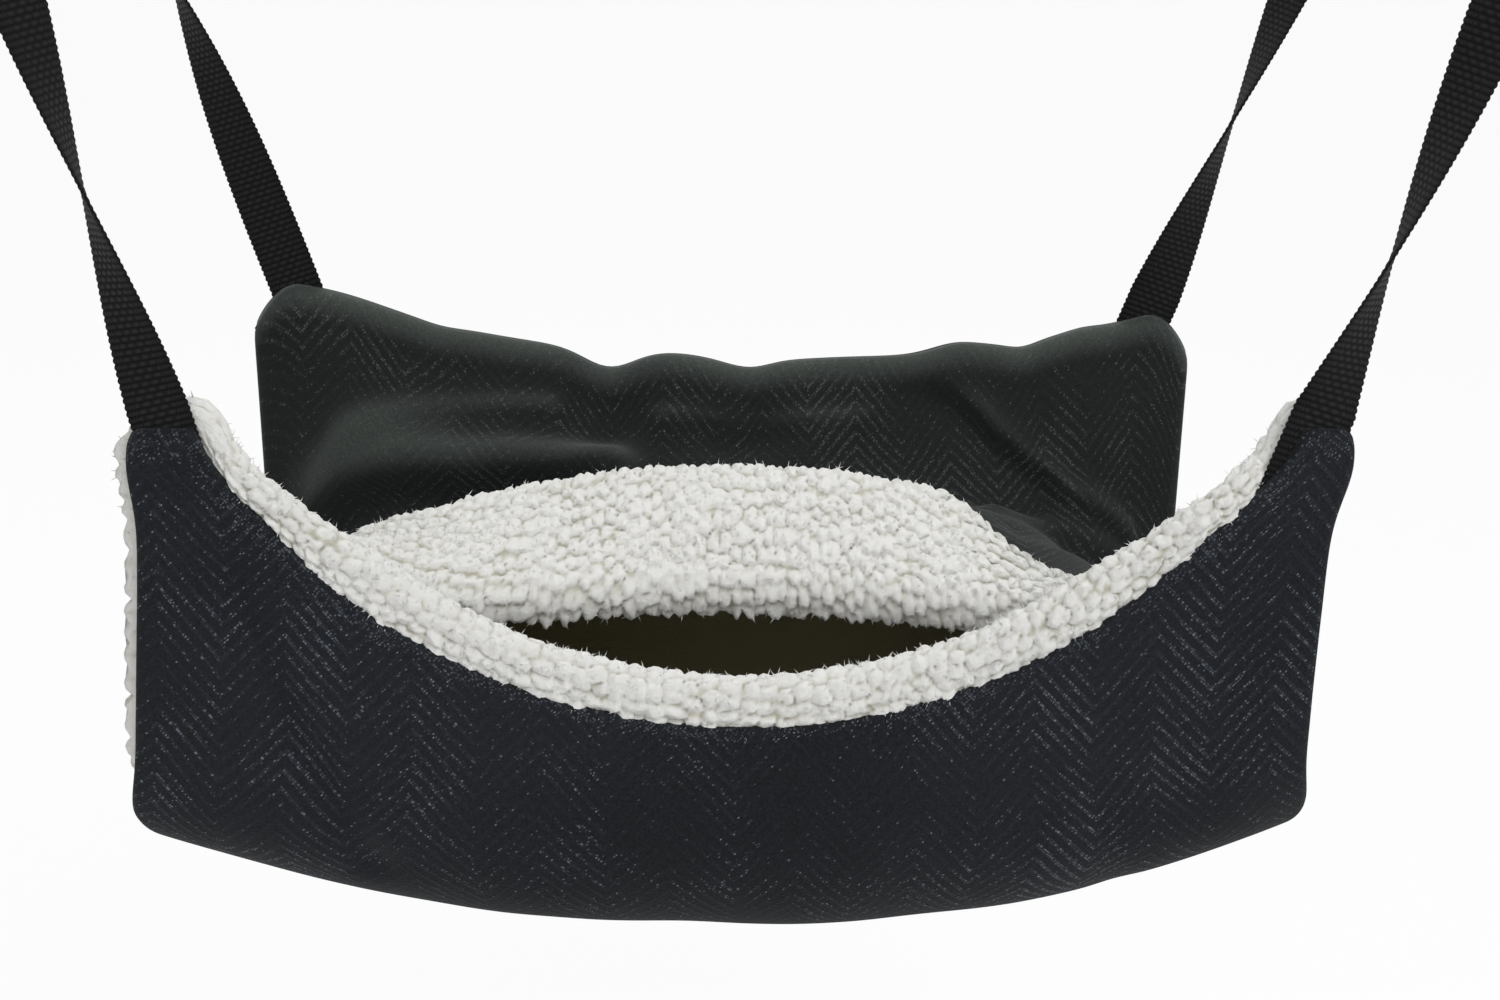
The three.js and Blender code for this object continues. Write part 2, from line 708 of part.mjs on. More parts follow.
const boltAxis = snap.throatHalf + half(snap.stock);
const barrelFloor = baseFloor + barrel.floor;
const tipEnd = arcCenter - snap.tipDrop;
const barrelTop = tipEnd - snap.mouth;
const boltTop = tipEnd - fitGap;
const boltFoot = barrelTop - bolt.grip;
const knobHeight = boltFoot + knob.above;

// Hook, base and bolt barrel, cast in one piece.
function snapBody() {
  const outer = snap.throatHalf + snap.stock;
  const hook = new THREE.Shape();
  hook.moveTo(-snap.baseRadius, baseFloor);
  hook.lineTo(-outer, baseTop);
  hook.lineTo(-outer, arcCenter);
  hook.absarc(0, arcCenter, outer, Math.PI, 0, true);
  hook.lineTo(outer - snap.soften, tipEnd);
  hook.lineTo(snap.throatHalf + snap.soften, tipEnd);
  hook.lineTo(snap.throatHalf, tipEnd + snap.soften);
  hook.absarc(0, arcCenter, snap.throatHalf, 0, Math.PI, false);
  hook.lineTo(-snap.throatHalf, baseTop + snap.soften);
  hook.lineTo(-snap.throatHalf + snap.soften, baseTop);
  hook.lineTo(boltAxis, baseTop);
  hook.lineTo(boltAxis, baseFloor);
  const base = rod(snap.baseRadius, baseFloor, baseTop, 0);
  const tube = rod(barrel.radius, baseFloor, barrelTop, boltAxis);
  const bore = rod(bolt.radius + bolt.runningGap, barrelFloor, barrelTop + overrun, boltAxis);
  const postBore = rod(post.radius + post.runningGap, baseFloor - overrun, baseTop + overrun, 0);
  const slotHalf = knob.stem + fitGap;
  const slotLow = knobHeight - bolt.travel - slotHalf;
  const slotHigh = knobHeight + slotHalf;
  const slot = new THREE.BoxGeometry(barrel.radius + overrun, slotHalf + slotHalf, slotHigh - slotLow)
    .translate(boltAxis + half(barrel.radius + overrun), 0, half(slotLow + slotHigh));
  return toGeometry(toManifold(plate(hook, snap.depth, snap.soften, facets.arc))
    .add(toManifold(base))
    .add(toManifold(tube))
    .subtract(toManifold(bore))
    .subtract(toManifold(postBore))
    .subtract(toManifold(slot)));
}

// Bolt that closes the mouth of the hook, with a seat for its knob.
function snapBolt() {
  const body = new THREE.LatheGeometry([
    new Vector2(0, boltFoot),
    new Vector2(bolt.radius, boltFoot),
    new Vector2(bolt.radius, boltTop - bolt.tipChamfer),
    new Vector2(bolt.radius - bolt.tipChamfer, boltTop),
    new Vector2(0, boltTop),
  ], facets.round).rotateX(half(Math.PI)).translate(boltAxis, 0, 0);
  const seatFloor = boltAxis + knob.stem - fitGap;
  const seatEnd = boltAxis + bolt.radius + overrun;
  const seatRadius = knob.stem + fitGap;
  const seat = new THREE.CylinderGeometry(seatRadius, seatRadius, seatEnd - seatFloor, facets.round)
    .rotateZ(half(Math.PI))
    .translate(half(seatFloor + seatEnd), 0, knobHeight);
  return toGeometry(toManifold(body).subtract(toManifold(seat)));
}

// Thumb knob, riveted into the bolt through the barrel's slot.
function boltKnob() {
  const inside = boltAxis + knob.stem;
  const shoulder = boltAxis + barrel.radius + knob.standOff;
  return new THREE.LatheGeometry([
    new Vector2(0, inside),
    new Vector2(knob.stem, inside),
    new Vector2(knob.stem, shoulder),
    new Vector2(knob.radius, shoulder),
    new Vector2(knob.radius, shoulder + half(knob.height)),
    new Vector2(knob.stem, shoulder + knob.height),
    new Vector2(0, shoulder + knob.height),
  ], facets.round).rotateZ(-half(Math.PI)).translate(0, 0, knobHeight);
}

// Coil spring between the barrel's floor and the bolt.
class Coil extends THREE.Curve {
  constructor(low, high) {
    super();
    this.low = low;
    this.high = high;
  }

  getPoint(t, target = new Vector3()) {
    const angle = t * spring.turns * fullTurn;
    const x = boltAxis + spring.radius * Math.cos(angle);
    return target.set(x, spring.radius * Math.sin(angle), lerp(this.low, this.high, t));
  }
}

function boltSpring() {
  const reach = half(spring.wire) + fitGap;
  const path = new Coil(barrelFloor + reach, boltFoot - reach);
  const wire = new THREE.Shape(Array.from({ length: facets.springWire }, (unused, k) => (
    new Vector2(half(spring.wire), 0).rotateAround(new Vector2(), (k / facets.springWire) * fullTurn)
  )));
  const stepCount = spring.turns * facets.springTurn;
  const points = path.getPoints(stepCount);
  const gaps = points.slice(facets.springTurn).map((point, k) => point.distanceTo(points[k]) - spring.wire);
  return {
    geometry: new THREE.ExtrudeGeometry(wire, { steps: stepCount, extrudePath: path }),
    leastGap: Math.min(...gaps),
  };
}

// Assembly

function piece(name, geometry, look) {
  const mesh = new THREE.Mesh(geometry, new THREE.MeshStandardMaterial(look));
  mesh.name = name;
  return mesh;
}

const hammock = new THREE.Group();
const springCoil = boltSpring();
console.log(`least gap between the turns of a bolt spring: ${springCoil.leastGap.toFixed(2)} mm`);

const pouch = new THREE.Group();
pouch.position.set(-half(hang.frontOffset), 0, -hang.drop);
pouch.add(
  piece('sling_outer', slingOuter(), finish.herringbone),
  piece('front_lining', frontLiningSolid(), finish.sherpa),
  piece('floor_lining', floorLiningSolid(), finish.innerCloth),
  piece('cover_outer', coverOuter(), finish.herringbone),
  piece('cover_lining', coverLiningSolid(), finish.sherpa),
);
hammock.add(pouch);

for (const corner of corners) {
  const { foot, top, lean, length } = cornerFrame(corner);
  const strap = piece(`strap_${corner.name}`, strapSolid(corner, length), finish.webbing);
  strap.position.copy(foot);
  strap.rotation.y = lean;
  hammock.add(strap);

  const holder = new THREE.Group();
  holder.position.copy(top);
  holder.rotation.y = lean;
  const pieces = new THREE.Group();
  pieces.position.z = -bearing;
  pieces.add(
    piece(`swivel_eye_${corner.name}`, swivelEye(), finish.nickel),
    piece(`snap_body_${corner.name}`, snapBody(), finish.nickel),
    piece(`snap_bolt_${corner.name}`, snapBolt(), finish.nickel),
    piece(`bolt_knob_${corner.name}`, boltKnob(), finish.nickel),
    piece(`bolt_spring_${corner.name}`, springCoil.geometry, finish.springSteel),
  );
  holder.add(pieces);
  hammock.add(holder);
}

export default hammock;
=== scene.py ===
import math
import bmesh
import bpy
from mathutils import Matrix, Vector, noise


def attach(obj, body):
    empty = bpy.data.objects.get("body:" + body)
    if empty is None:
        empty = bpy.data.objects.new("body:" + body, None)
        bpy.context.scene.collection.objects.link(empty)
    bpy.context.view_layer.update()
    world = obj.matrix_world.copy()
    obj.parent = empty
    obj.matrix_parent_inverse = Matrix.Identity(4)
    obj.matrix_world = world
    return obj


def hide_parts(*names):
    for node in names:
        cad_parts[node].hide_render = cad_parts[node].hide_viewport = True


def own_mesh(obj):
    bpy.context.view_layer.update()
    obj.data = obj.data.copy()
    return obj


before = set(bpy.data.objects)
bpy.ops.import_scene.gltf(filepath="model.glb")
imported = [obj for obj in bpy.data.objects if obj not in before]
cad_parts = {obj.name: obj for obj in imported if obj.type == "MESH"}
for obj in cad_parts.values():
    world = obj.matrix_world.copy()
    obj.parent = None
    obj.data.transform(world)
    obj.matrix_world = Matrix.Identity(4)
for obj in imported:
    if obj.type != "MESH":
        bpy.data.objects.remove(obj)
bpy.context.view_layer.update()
print("frame loaded:", len(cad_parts), "nodes")

# Shapes are worked out in millimetres, with z counted from the front corners, and stored in metres.
mm = 0.001
hangDrop = 270
hangOffset = 6

# ---- camera

view = {"lens": 50, "sensor": 36, "place": (-0.0037, -0.7037, -0.0826), "downDeg": 18.5}


def addCamera():
    data = bpy.data.cameras.new("camera")
    data.lens = view["lens"]
    data.sensor_width = view["sensor"]
    data.clip_start = 0.01
    camera = bpy.data.objects.new("camera", data)
    camera.location = view["place"]
    camera.rotation_euler = (math.radians(90 - view["downDeg"]), 0, 0)
    bpy.context.scene.collection.objects.link(camera)
    bpy.context.scene.camera = camera


addCamera()
print("camera placed")


# ---- small helpers

def lerp(a, b, share):
    return a + (b - a) * share


def clamp(value, low=0.0, high=1.0):
    return max(low, min(high, value))


def smooth(value, low, high):
    share = clamp((value - low) / (high - low))
    return share * share * (3 - 2 * share)


def bump(value, centre, spread):
    return math.exp(-((value - centre) / spread) ** 2)


def toRow(point):
    return Vector((point[0] - hangOffset, point[1], point[2] - hangDrop)) * mm


def spaced(stops):
    # A function that walks through the stops evenly by their number of steps
    total = sum(steps for _, steps in stops[1:])

    def at(share):
        left = share * total
        for before, after in zip(stops, stops[1:]):
            if left <= after[1] or after is stops[-1]:
                return lerp(before[0], after[0], clamp(left / after[1]))
            left -= after[1]
    return at, total


def runsAlong(lengths):
    # Running totals of the lengths, from 0
    runs = [0.0]
    for length in lengths:
        runs.append(runs[-1] + length)
    return runs


def stepBefore(runs, goal):
    # The step of a list of running totals in which the goal lies
    low, high = 0, len(runs) - 1
    while high - low > 1:
        middle = (low + high) // 2
        low, high = (middle, high) if runs[middle] <= goal else (low, middle)
    return low


def meshFrom(name, bm):
    mesh = bpy.data.meshes.new(name)
    bm.to_mesh(mesh)
    bm.free()
    return mesh


def linked(name, data):
    made = bpy.data.objects.new(name, data)
    bpy.context.scene.collection.objects.link(made)
    return made


def thicken(piece, thickness, offset):
    thick = piece.modifiers.new("thickness", "SOLIDIFY")
    thick.thickness = thickness * mm
    thick.offset = offset


# The last row of a closed section lands on its first
closingShare = 0.9999


def gridPiece(name, columns, rows, place, uv=None, closed=False, masks=()):
    # A bmesh grid whose points are placed one by one. A closed one is joined along its first and last row.
    bm = bmesh.new()
    bmesh.ops.create_grid(bm, x_segments=columns, y_segments=rows, size=0.5)
    uvLayer = bm.loops.layers.uv.new("cloth")
    maskLayers = [bm.verts.layers.float.new(mask) for mask in masks]
    shares = {}
    for vert in bm.verts:
        u, v = vert.co.x + 0.5, vert.co.y + 0.5
        shares[vert] = (u, v)
    for face in bm.faces:
        for loop in face.loops:
            u, v = shares[loop.vert]
            loop[uvLayer].uv = uv(u, v) if uv else (u, v)
    for vert, (u, v) in shares.items():
        point = place(u, v)
        for layer, value in zip(maskLayers, point[3:]):
            vert[layer] = value
        vert.co = toRow(point[:3])
    if closed:
        bmesh.ops.remove_doubles(bm, verts=bm.verts, dist=0.00001)
    mesh = meshFrom(name, bm)
    mesh.shade_smooth()
    return linked(name, mesh)


def finishPiece(piece, look, body, slot, *nodes):
    piece.data.materials.clear()
    piece.data.materials.append(look)
    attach(piece, body)
    if nodes:
        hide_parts(*nodes)
    return piece


# ---- shader maths

class Wire:
    # Wraps a node's output so that sums on values add Math nodes
    def __init__(self, look, socket):
        self.look = look
        self.socket = socket

    def math(self, operation, *others):
        return self.look.node("ShaderNodeMath", {"operation": operation}, {
            i: value for i, value in enumerate((self, *others))})

    def __add__(self, other): return self.math("ADD", other)
    def __radd__(self, other): return self.math("ADD", other)
    def __sub__(self, other): return self.math("SUBTRACT", other)
    def __mul__(self, other): return self.math("MULTIPLY", other)
    def __rmul__(self, other): return self.math("MULTIPLY", other)
    def __truediv__(self, other): return self.math("DIVIDE", other)

    def __rsub__(self, other):
        return self.look.node("ShaderNodeMath", {"operation": "SUBTRACT"}, {0: other, 1: self})

    def clamp(self):
        return self.math("MAXIMUM", 0.0).math("MINIMUM", 1.0)

    def smooth(self, low, high):
        return self.look.node("ShaderNodeMapRange", {"interpolation_type": "SMOOTHSTEP"}, {
            "Value": self, "From Min": low, "From Max": high})


class Look:
    def __init__(self, name, **constants):
        self.material = bpy.data.materials.new(name)
        self.material.use_nodes = True
        self.nodes = self.material.node_tree.nodes
        self.links = self.material.node_tree.links
        self.shader = self.nodes["Principled BSDF"]
        for socket, value in constants.items():
            self.shader.inputs[socket.replace("_", " ")].default_value = value

    def node(self, kind, settings=None, sockets=None, output=0):
        made = self.nodes.new(kind)
        for key, value in (settings or {}).items():
            setattr(made, key, value)
        for key, value in (sockets or {}).items():
            if isinstance(value, Wire):
                self.links.new(value.socket, made.inputs[key])
            else:
                made.inputs[key].default_value = value
        return Wire(self, made.outputs[output])

    def colour(self, factor, low, high):
        return self.node("ShaderNodeMix", {"data_type": "RGBA"}, {
            0: factor, 6: linear(low), 7: linear(high)}, output=2)

    def over(self, factor, low, high):
        # Mixes two colour wires
        return self.node("ShaderNodeMix", {"data_type": "RGBA"}, {0: factor, 6: low, 7: high}, output=2)

    def noise(self, scale, detail=2.0, roughness=0.5, vector=None):
        sockets = {"Scale": scale, "Detail": detail, "Roughness": roughness}
        if vector:
            sockets["Vector"] = vector
        return self.node("ShaderNodeTexNoise", {}, sockets)

    def uv(self):
        wire = self.node("ShaderNodeUVMap", {"uv_map": "cloth"})
        x = self.node("ShaderNodeSeparateXYZ", {}, {0: wire}, output=0)
        y = Wire(self, x.socket.node.outputs[1])
        return x, y, wire

    def objectPlace(self):
        return self.node("ShaderNodeTexCoord", {}, {}, output=3)

    def mask(self, name):
        return self.node("ShaderNodeAttribute", {"attribute_name": name}, {}, output=2)

    def feed(self, socket, wire):
        self.links.new(wire.socket, self.shader.inputs[socket])

    def relief(self, height, distance, strength=1.0):
        bumped = self.node("ShaderNodeBump", {}, {
            "Height": height, "Distance": distance, "Strength": strength})
        self.feed("Normal", bumped)


def linear(colour):
    # A colour as seen on screen, 0 to 255, as Blender's own numbers
    shares = [value / 255 for value in colour]
    return (*[s / 12.92 if s <= 0.04045 else ((s + 0.055) / 1.055) ** 2.4 for s in shares], 1.0)


# ---- materials

# Herringbone cloth: its zigzag columns, its rows and its shiny specks, in millimetres
herringbone = {
    "column": 19.55, "offset": -16.5, "pitch": 6.0, "slope": 1.2, "rowHalf": 0.24,
    "speckLong": 1.05, "speckWide": 0.5, "speckLean": 0.707, "speckUneven": 0.45,
    "columnWander": 3, "rowWander": 2.5,
}
# Noise scales of the cloth: how the columns wander, patches of shine, the weave and wear
clothScales = {"wander": 18, "patches": 24, "weave": 1100, "worn": 9}


def herringboneCloth(name, ground, hollow, band, speck, amounts, fuzz, relief):
    look = Look(name, Roughness=0.9, Sheen_Weight=fuzz, Sheen_Roughness=0.4, Specular_IOR_Level=0.3,
                Sheen_Tint=(0.72, 0.82, 0.76, 1))
    u, v, _ = look.uv()
    place = look.objectPlace()
    wander = look.noise(clothScales["wander"], 2, 0.5, place) - 0.5
    shifted = u + wander * herringbone["columnWander"] + herringbone["offset"]
    column = (shifted / (2 * herringbone["column"])).math("FRACT")
    zigzag = (column * 2 - 1).math("ABSOLUTE") * herringbone["column"]
    falling = column.math("LESS_THAN", 0.5)
    down = v + zigzag * herringbone["slope"] + wander * herringbone["rowWander"]
    row = (down / herringbone["pitch"]).math("FRACT")
    rowMask = (row - 0.5).math("ABSOLUTE").smooth(herringbone["rowHalf"], herringbone["rowHalf"] * 0.5)
    # Small shiny threads that lean, each in a cell of its own
    lean = herringbone["speckLean"]
    leaning = look.node("ShaderNodeCombineXYZ", {}, {0: (u + v) * lean / herringbone["speckWide"],
                                                     1: (u - v) * lean / herringbone["speckLong"]})
    cells = look.node("ShaderNodeTexVoronoi", {"voronoi_dimensions": "2D"},
                      {"Vector": leaning, "Scale": 1.0, "Randomness": herringbone["speckUneven"]})
    chance = look.node("ShaderNodeSeparateColor", {}, {0: Wire(look, cells.socket.node.outputs["Color"])})
    glint = Wire(look, chance.socket.node.outputs[1])
    dot = cells.smooth(0.52, 0.22)
    patches = look.noise(clothScales["patches"], 3, 0.6, place).smooth(0.38, 0.66)
    sides = (u + amounts["plainAt"]).math("ABSOLUTE").smooth(amounts["plainHalf"] * 0.4, amounts["plainHalf"])
    rowShow = (patches * 0.85 + 0.15) * (sides * (1 - amounts["middle"]) + amounts["middle"])
    # The rim mask: on the front it crowds specks into the band by the rim, and on the upper layer it also
    # lays the painted sheen on its rim and fold crests
    rimBandAndPaintedSheen = look.mask("rim")
    ribbed = rowMask * (falling * amounts["falling"] + (1 - falling) * amounts["rising"]) * rowShow
    crowd = (ribbed + rimBandAndPaintedSheen * amounts["rim"] * (patches * 0.5 + 0.5) + patches * amounts["plain"]
             + amounts["least"])
    shown = dot * (crowd - chance).smooth(0.0, 0.08)
    bright = (shown * (glint * 0.75 + 0.25) * (1 - rimBandAndPaintedSheen * 0.5)).clamp()
    weave = look.noise(clothScales["weave"], 2, 0.6, place).smooth(0.3, 0.7)
    worn = look.noise(clothScales["worn"], 3, 0.6, place).smooth(0.3, 0.7)
    base = look.colour((weave * 0.65 + worn * 0.35) * (0.8 + rowMask * 0.2), hollow, ground)
    banded = look.over(ribbed.clamp() * 0.8, base, look.colour(weave, ground, band))
    # Painted sheen: where the mask is high, the colour is lightened towards the band and speck colours,
    # standing in for light on the rim and the fold crests
    withPaintedSheen = look.over(rimBandAndPaintedSheen * amounts["paintedSheen"] * (worn * 0.4 + 0.6), banded,
                       look.colour(weave * 0.3 + 0.35, band, speck))
    look.feed("Base Color", look.over(bright, withPaintedSheen, look.colour(glint, ground, speck)))
    look.feed("Roughness", 0.92 - bright * 0.4)
    look.relief(rowMask * (falling * 0.4 + 0.2) + weave * 0.4 + shown * 0.3, relief)
    return look.material


# Curly pile. Its creases, and the parts where no curls show, get a darker, warmer colour: painted shade.
pileColours = {
    "tip": (246, 245, 239), "creaseShade": (200, 196, 174), "shade": (226, 224, 212), "bright": (250, 250, 247),
}


def pileLook():
    look = Look("sherpaPile", Roughness=1.0, Sheen_Weight=0.3, Sheen_Roughness=0.6, Specular_IOR_Level=0.15)
    place = look.objectPlace()
    fluff = look.noise(520, 6, 0.8, place)
    tone = look.noise(55, 2, 0.5, place)
    # Painted shade: where the height mask is low, in the creases between curls and where no curls show, the
    # colour turns to the darker crease colour
    depth = (look.mask("tuft") + (fluff - 0.5) * 0.4).smooth(0.06, 0.6)
    paintedCreaseShade = look.colour(tone, pileColours["creaseShade"], pileColours["shade"])
    tip = look.colour(fluff.smooth(0.3, 0.65), pileColours["tip"], pileColours["bright"])
    look.feed("Base Color", look.over(depth, paintedCreaseShade, tip))
    look.relief(fluff, 0.001, 1.0)
    return look.material


innerColours = {"dark": (124, 118, 90), "light": (164, 157, 124), "threadPitch": 0.7}


def innerLook():
    look = Look("innerCloth", Roughness=0.75, Specular_IOR_Level=0.3)
    u, v, _ = look.uv()
    place = look.objectPlace()
    streak = look.noise(30, 3, 0.6, look.node("ShaderNodeCombineXYZ", {}, {0: u * 0.02, 1: v * 0.6}))
    thread = ((v / innerColours["threadPitch"]).math("FRACT") - 0.5).math("ABSOLUTE")
    look.feed("Base Color", look.colour(streak, innerColours["dark"], innerColours["light"]))
    look.relief(thread * 0.5 + look.noise(1200, 2, 0.5, place) * 0.5, 0.0002)
    return look.material


webbing = {
    "width": 20, "thickness": 1.6, "tab": 25, "flat": 9, "sewnReturn": 24, "loopFlare": 9, "frontInset": 11,
    "backInset": 16, "span": 512, "bearing": 47.3, "rib": 2.1, "step": 0.42, "thread": 0.85,
    "eyeBar": 1.5, "turnSteps": 60, "loopSteps": 16, "dark": (8, 8, 9), "light": (33, 33, 36),
}


def webbingLook():
    look = Look("webbing", Specular_IOR_Level=0.22)
    u, v, _ = look.uv()
    # Threads cross each rib side by side, and their crowns catch the light
    staggered = u / webbing["thread"] + (v / webbing["rib"]).math("FLOOR") * 0.5
    thread = (staggered.math("FRACT") - 0.5).math("ABSOLUTE").smooth(0.45, 0.1)
    crown = ((v / webbing["rib"]).math("FRACT") - 0.5).math("ABSOLUTE").smooth(0.45, 0.1)
    fibre = look.noise(1500, 2, 0.6, look.objectPlace())
    shine = crown * (thread * 0.6 + fibre * 0.4)
    look.feed("Base Color", look.colour(shine, webbing["dark"], webbing["light"]))
    look.feed("Roughness", 0.85 - shine * 0.25)
    look.relief(thread * 0.6 + fibre * 0.3, 0.00025)
    return look.material


def threadLook(name, dark, light):
    look = Look(name, Roughness=0.6)
    look.feed("Base Color", look.colour(look.noise(900, 2, 0.5, look.objectPlace()), dark, light))
    return look.material


metalColours = {
    "nickelDull": (172, 174, 178), "nickelBright": (206, 207, 208),
    "wireDull": (120, 124, 130), "wireBright": (166, 169, 173),
}


def nickelLook():
    look = Look("nickelPlate", Metallic=1.0)
    place = look.objectPlace()
    wear = look.noise(120, 4, 0.6, place)
    fine = look.noise(400, 3, 0.6, place)
    look.feed("Base Color", look.colour(wear, metalColours["nickelDull"], metalColours["nickelBright"]))
    look.feed("Roughness", wear.smooth(0.3, 0.8) * 0.16 + fine * 0.08 + 0.17)
    look.relief(fine, 0.00001)
    return look.material


def springLook():
    look = Look("springWire", Metallic=1.0)
    drawn = look.noise(700, 3, 0.6, look.objectPlace())
    look.feed("Base Color", look.colour(drawn, metalColours["wireDull"], metalColours["wireBright"]))
    look.feed("Roughness", drawn * 0.2 + 0.25)
    look.relief(drawn, 0.00003)
    return look.material


looks = {
    "front": herringboneCloth(
        "herringboneFront", (32, 35, 41), (11, 13, 17), (55, 62, 71), (128, 136, 146),
        {"falling": 0.66, "rising": 0.34, "rim": 0.5, "plain": 0.06, "least": 0.02, "paintedSheen": 0.0,
         "plainAt": 20, "plainHalf": 130, "middle": 0.35}, fuzz=0.04, relief=0.0004),
    "top": herringboneCloth(
        "herringboneTop", (34, 37, 37), (16, 17, 19), (46, 50, 49), (92, 99, 93),
        {"falling": 0.66, "rising": 0.6, "rim": 0.05, "plain": 0.06, "least": 0.03, "paintedSheen": 0.8,
         "plainAt": 0, "plainHalf": 1, "middle": 1.0}, fuzz=0.14, relief=0.00016),
    "pile": pileLook(),
    "inner": innerLook(),
    "webbing": webbingLook(),
    "blackThread": threadLook("blackThread", (22, 22, 24), (52, 52, 55)),
    "nickel": nickelLook(),
    "spring": springLook(),
}
print("materials made:", len(looks))

# ---- the shape of the sling, as the model has it

sling = {
    "frontLeft": 187.6, "frontRight": 185.5, "backLeft": 188.5, "backRight": 171, "depth": 170,
    "leftFlare": 13.4, "rightTuck": 2, "floorDrop": 194, "leftLift": 36, "rightLift": 41,
    "steepness": 2.4, "foot": 58, "earLeft": 3.6, "earRight": 5, "earDown": 8, "earSpread": 16,
}
frontRim = {"dip": 98, "halfChord": 168.9, "cornerRise": 3.2, "offset": 2.3}
backRim = {"leftRise": 15, "rightRise": 4, "sag": 27.5, "cornerFall": 20, "cornerWidth": 18}
# Waves of the back rim: share across, rise and spread
rimWaves = [(-0.82, 3.3, 25), (-0.28, -6.5, 13), (0.01, -3, 12), (0.48, 3.2, 14), (0.63, -2.2, 9)]
smallWaves = [(-0.145, 1.4, 16), (0.22, 1, 26), (0.76, 1, 8), (-0.62, -0.8, 9)]
wall = 2
fitGap = 0.3
halfWidth = (sling["frontLeft"] + sling["frontRight"]) / 2
frontY, backY = -sling["depth"] / 2, sling["depth"] / 2
tabRoom = 1.9
slingRows = (5, 4, 2, 4, 4)
coverRowCounts = (3, 4, 2, 4, 3)


def edgeHalf(side, y, z):
    back = clamp((y - frontY) / sling["depth"])
    down = clamp(-z / (sling["floorDrop"] - sling["foot"]))
    pull = (1 - back) ** 2 * bump(z, -sling["earDown"], sling["earSpread"])
    if side < 0:
        flare = sling["leftFlare"] * down * (1 - back)
        return lerp(sling["frontLeft"], sling["backLeft"], back) + flare + sling["earLeft"] * pull
    tuck = sling["rightTuck"] * down
    return lerp(sling["frontRight"], sling["backRight"], back) - tuck + sling["earRight"] * pull


def frontRimHeight(across):
    rise = frontRim["dip"] + frontRim["cornerRise"]
    radius = (frontRim["halfChord"] ** 2 + rise ** 2) / (2 * rise)
    x = min(abs(across * halfWidth - frontRim["offset"]), frontRim["halfChord"])
    return radius - frontRim["dip"] - math.sqrt(radius ** 2 - x ** 2)


def wavesAt(across, waves):
    return sum(rise * bump((across - place) * halfWidth, 0, spread) for place, rise, spread in waves)


def backRimHeight(across):
    corner = 1 - backRim["cornerWidth"] / ((sling["backLeft"] + sling["backRight"]) / 2)
    rounding = clamp((abs(across) - corner) / (1 - corner)) ** 2
    tilt = lerp(backRim["leftRise"], backRim["rightRise"], (across + 1) / 2)
    fall = backRim["sag"] * (1 - across ** 2) + backRim["cornerFall"] * rounding
    return tilt - fall + wavesAt(across, rimWaves)


def floorHeight(across):
    lift = lerp(sling["leftLift"], sling["rightLift"], (across + 1) / 2)
    return -sling["floorDrop"] + lift * abs(across) ** sling["steepness"]


def sectionPoint(across, share, inset, frontTop, backTop, rows):
    front, back = frontY + inset, backY - inset
    radius = sling["foot"] - inset
    footTop = floorHeight(across) + sling["foot"]
    frontFoot, backFoot = frontY + sling["foot"], backY - sling["foot"]
    left = share * sum(rows)
    for k, count in enumerate(rows):
        if left <= count or k == 4:
            s = clamp(left / count)
            if k == 0:
                return front, lerp(frontTop, footTop, s)
            if k == 1:
                angle = math.pi * (1 + s / 2)
                return frontFoot + radius * math.cos(angle), footTop + radius * math.sin(angle)
            if k == 2:
                return lerp(frontFoot, backFoot, s), footTop - radius
            if k == 3:
                angle = math.pi * (1.5 + s / 2)
                return backFoot + radius * math.cos(angle), footTop + radius * math.sin(angle)
            return back, lerp(footTop, backTop, s)
        left -= count


def foldHeight(x, y, folds):
    # Each fold is highest along its path and fades to both sides
    total = 0.0
    for path, height, spread in folds:
        nearest = 1e9
        for (sx, sy), (ex, ey) in zip(path, path[1:]):
            ax, ay = ex - sx, ey - sy
            reach = clamp(((x - sx) * ax + (y - sy) * ay) / (ax * ax + ay * ay))
            nearest = min(nearest, (x - sx - ax * reach) ** 2 + (y - sy - ay * reach) ** 2)
        if nearest < 9 * spread * spread:
            total += height * math.exp(-nearest / spread ** 2)
    return total


# Folds of the outer cloth: path across and down the front wall, how far pressed in, and spread
wallFolds = [
    (((-166, -46), (-150, -90), (-126, -150)), 4.6, 8.5), (((157, -74), (147, -120)), 3.5, 15),
    (((-150, -70), (-118, -138)), -1.6, 8), (((-60, -110), (-20, -185)), 1.2, 18),
    (((70, -120), (60, -185)), 1.4, 16), (((118, -120), (128, -165)), 2.0, 8),
    (((-100, -60), (-70, -150)), 1.2, 14),
]
slingLook = {
    "columns": 150, "rows": 190, "thickness": 1.7, "edgeRound": 4.2, "rimRound": 2.6, "corner": 4.5,
    "leftOut": 1.2, "rightOut": 1.4, "leftFull": 5.3, "rightFull": 7.8, "fullDown": 140, "fullSpread": 22,
    "length": 480, "press": 1.6, "lift": 1.6, "rimFrom": 17, "rimFull": 8,
}


def pressAt(x, z):
    # How far the front wall is pressed in at a place
    return foldHeight(x, z, wallFolds) + slingLook["press"] * noise.noise(Vector((x * 0.018, z * 0.02, 3.1)))


